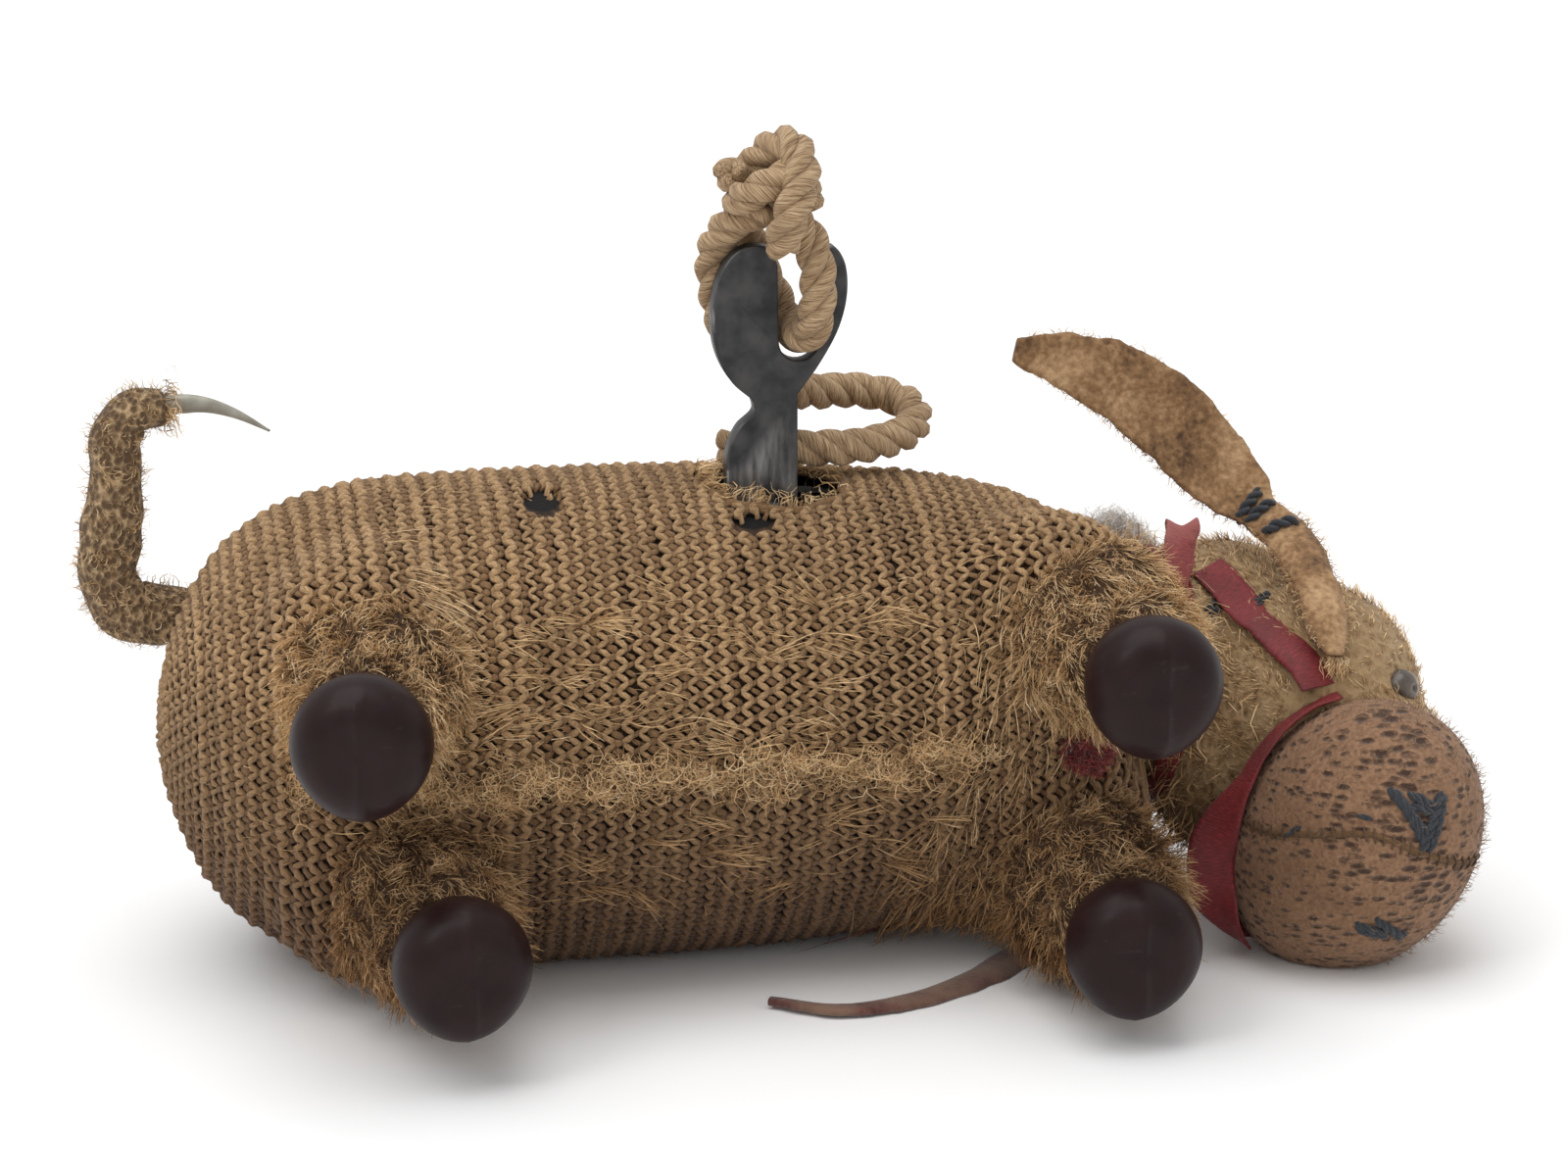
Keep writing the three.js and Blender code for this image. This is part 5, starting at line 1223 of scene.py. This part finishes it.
tail_faces = closed_walls(*tail_points.shape[:2])
tail_knit = make_piece("tail_knit", tail_points.reshape(-1, 3), tail_faces, tail_cloth.material,
                       "toy_frame",
                       ["tail_cover"], "plush")
chance = np.random.default_rng(95)
roots, out = scatter(tail_knit, 1500, chance)
tail_near = tail_line[np.argmin(((roots[:, None] - tail_line[None]) ** 2).sum(2), axis=1)]
out = np.where(((out * (roots - tail_near)).sum(1) < 0)[:, None], -out, out)
fibres("tail_fuzz", roots, out, 1.1, 0.09, [[0.1, 0, 0.4]], 0.5, (0.2, 5), pile.material, "toy_frame",
       96)
fray_root = tail_line[-1] + 1.1 * chance.standard_normal((140, 3)) * [[0.15, 1, 1]]
fibres("tail_frayed_end", fray_root, np.broadcast_to([0.8, 0, -0.3], (140, 3)), 1.7, 0.13,
       [[0.3, 0, -0.8]], 0.4, (0.35, 6),
       pile.material, "toy_frame", 97)
wire_metal = Finish("dull grey wire", Metallic=0.35, Coat_Weight=0.1)
wire_soil = wire_metal.noise(420, 4)
wire_metal.surface(wire_metal.ramp(wire_soil, (0.3, (0.20, 0.18, 0.14)), (0.7, (0.42, 0.40, 0.34))),
                   0.42 + 0.2 * wire_soil,
                   wire_soil, 0.00004)
wire_line = evenly(smooth_line(TAIL + [(-44.6, 8, 55.6), (-41.4, 8, 54.6), (-37.8, 8, 52.6)], 12), 0.35)
part = np.linspace(0, 1, len(wire_line))
wire_r = 0.8 * np.interp(part, [0, 0.8, 1], [1, 1, 0.12])
_, wire_a, wire_b = frames_along(wire_line, (0, 1, 0))
wire_turn = np.linspace(0, 2 * np.pi, 17)[:-1]
wire_points = wire_line[:, None] + wire_r[:, None, None] * (
    np.cos(wire_turn)[None, :, None] * wire_a[:, None] + 1.25 * np.sin(wire_turn)[None, :, None]
                                                            * wire_b[:, None])
wire_faces = closed_walls(*wire_points.shape[:2])
make_piece("tail_wire_rod", wire_points.reshape(-1, 3), wire_faces, wire_metal.material, "toy_frame",
           ["tail_wire"], "steel")

# ---- movement ----
# The clockwork inside: tin half shells, brass plates and wheels, and steel arbors, levers,
# rods and spring. The parts keep their own shapes and get metal finishes.
tin = Finish("lacquered tin plate", Metallic=0.9)
tin_soil = tin.noise(300, 5)
tin.surface(tin.ramp(tin_soil, (0.3, (0.36, 0.35, 0.33)), (0.7, (0.58, 0.57, 0.55))),
            0.3 + 0.3 * tin_soil, tin_soil, 0.00003)
brass = Finish("clock brass", Metallic=0.95)
brass_line = brass.noise(1400, 3, brass.stretched((1.0, 0.12, 1.0)))
tarnish = brass.noise(260, 4)
brass.surface(brass.mix(tarnish.clip(0.45, 0.75) * 0.6, brass.ramp(
    brass_line, (0.3, (0.62, 0.43, 0.17)), (0.7, (0.78, 0.58, 0.27))), (0.28, 0.17, 0.07)),
              0.25 + 0.3 * tarnish, brass_line, 0.00002)
steel = Finish("blued steel", Metallic=0.95)
steel_line = steel.noise(1200, 3, steel.stretched((0.2, 1.0, 1.0)))
rust = steel.noise(500, 5)
steel.surface(steel.mix(rust.clip(0.6, 0.8) * 0.7, steel.ramp(
    steel_line, (0.3, (0.17, 0.18, 0.20)), (0.7, (0.34, 0.35, 0.37))), (0.12, 0.055, 0.025)),
              0.28 + 0.35 * rust, rust, 0.00003)
METALS = {"tin": tin, "brass": brass, "steel": steel}
for name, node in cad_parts.items():
    for socket in node.material_slots:
        for metal, finish in METALS.items():
            if socket.material and socket.material.name.startswith(metal):
                socket.material = finish.material

# ---- studio ----
# A plain white table under soft light from above and the left.
bpy.ops.object.select_all(action="DESELECT")
bpy.ops.mesh.primitive_plane_add(size=8.0)
table = bpy.context.object
table.name = "white_table"
table_top = Finish("white table", Roughness=0.9)
table_grain = table_top.noise(3, 1)
table_top.surface(table_top.ramp(table_grain, (0.0, (0.93, 0.93, 0.935)), (1.0, (0.95, 0.95, 0.95))))
table.data.materials.append(table_top.material)


def soft_lamp(name, place, size, power):
    lamp = bpy.data.objects.new(name, bpy.data.lights.new(name, "AREA"))
    lamp.data.shape = "DISK"
    lamp.data.size = size
    lamp.data.energy = power
    lamp.location = place
    lamp.rotation_euler = (Vector((0, 0, 0.03)) - Vector(place)).to_track_quat("-Z", "Y").to_euler()
    bpy.context.scene.collection.objects.link(lamp)


sky = bpy.data.objects.new("high_light", bpy.data.lights.new("high_light", "SUN"))
sky.data.energy = 1.25
sky.data.angle = math.radians(50)
sky.rotation_euler = Vector((-0.15, 0.04, 1.0)).to_track_quat("Z", "Y").to_euler()
bpy.context.scene.collection.objects.link(sky)
soft_lamp("window_light", (-0.6, -0.35, 0.8), 0.35, 1.2)
world = bpy.data.worlds.new("studio") if not bpy.data.worlds else bpy.data.worlds[0]
bpy.context.scene.world = world
world.use_nodes = True
world.node_tree.nodes["Background"].inputs["Color"].default_value = (1, 1, 1, 1)
world.node_tree.nodes["Background"].inputs["Strength"].default_value = 0.78
bpy.context.scene.view_settings.view_transform = "Standard"
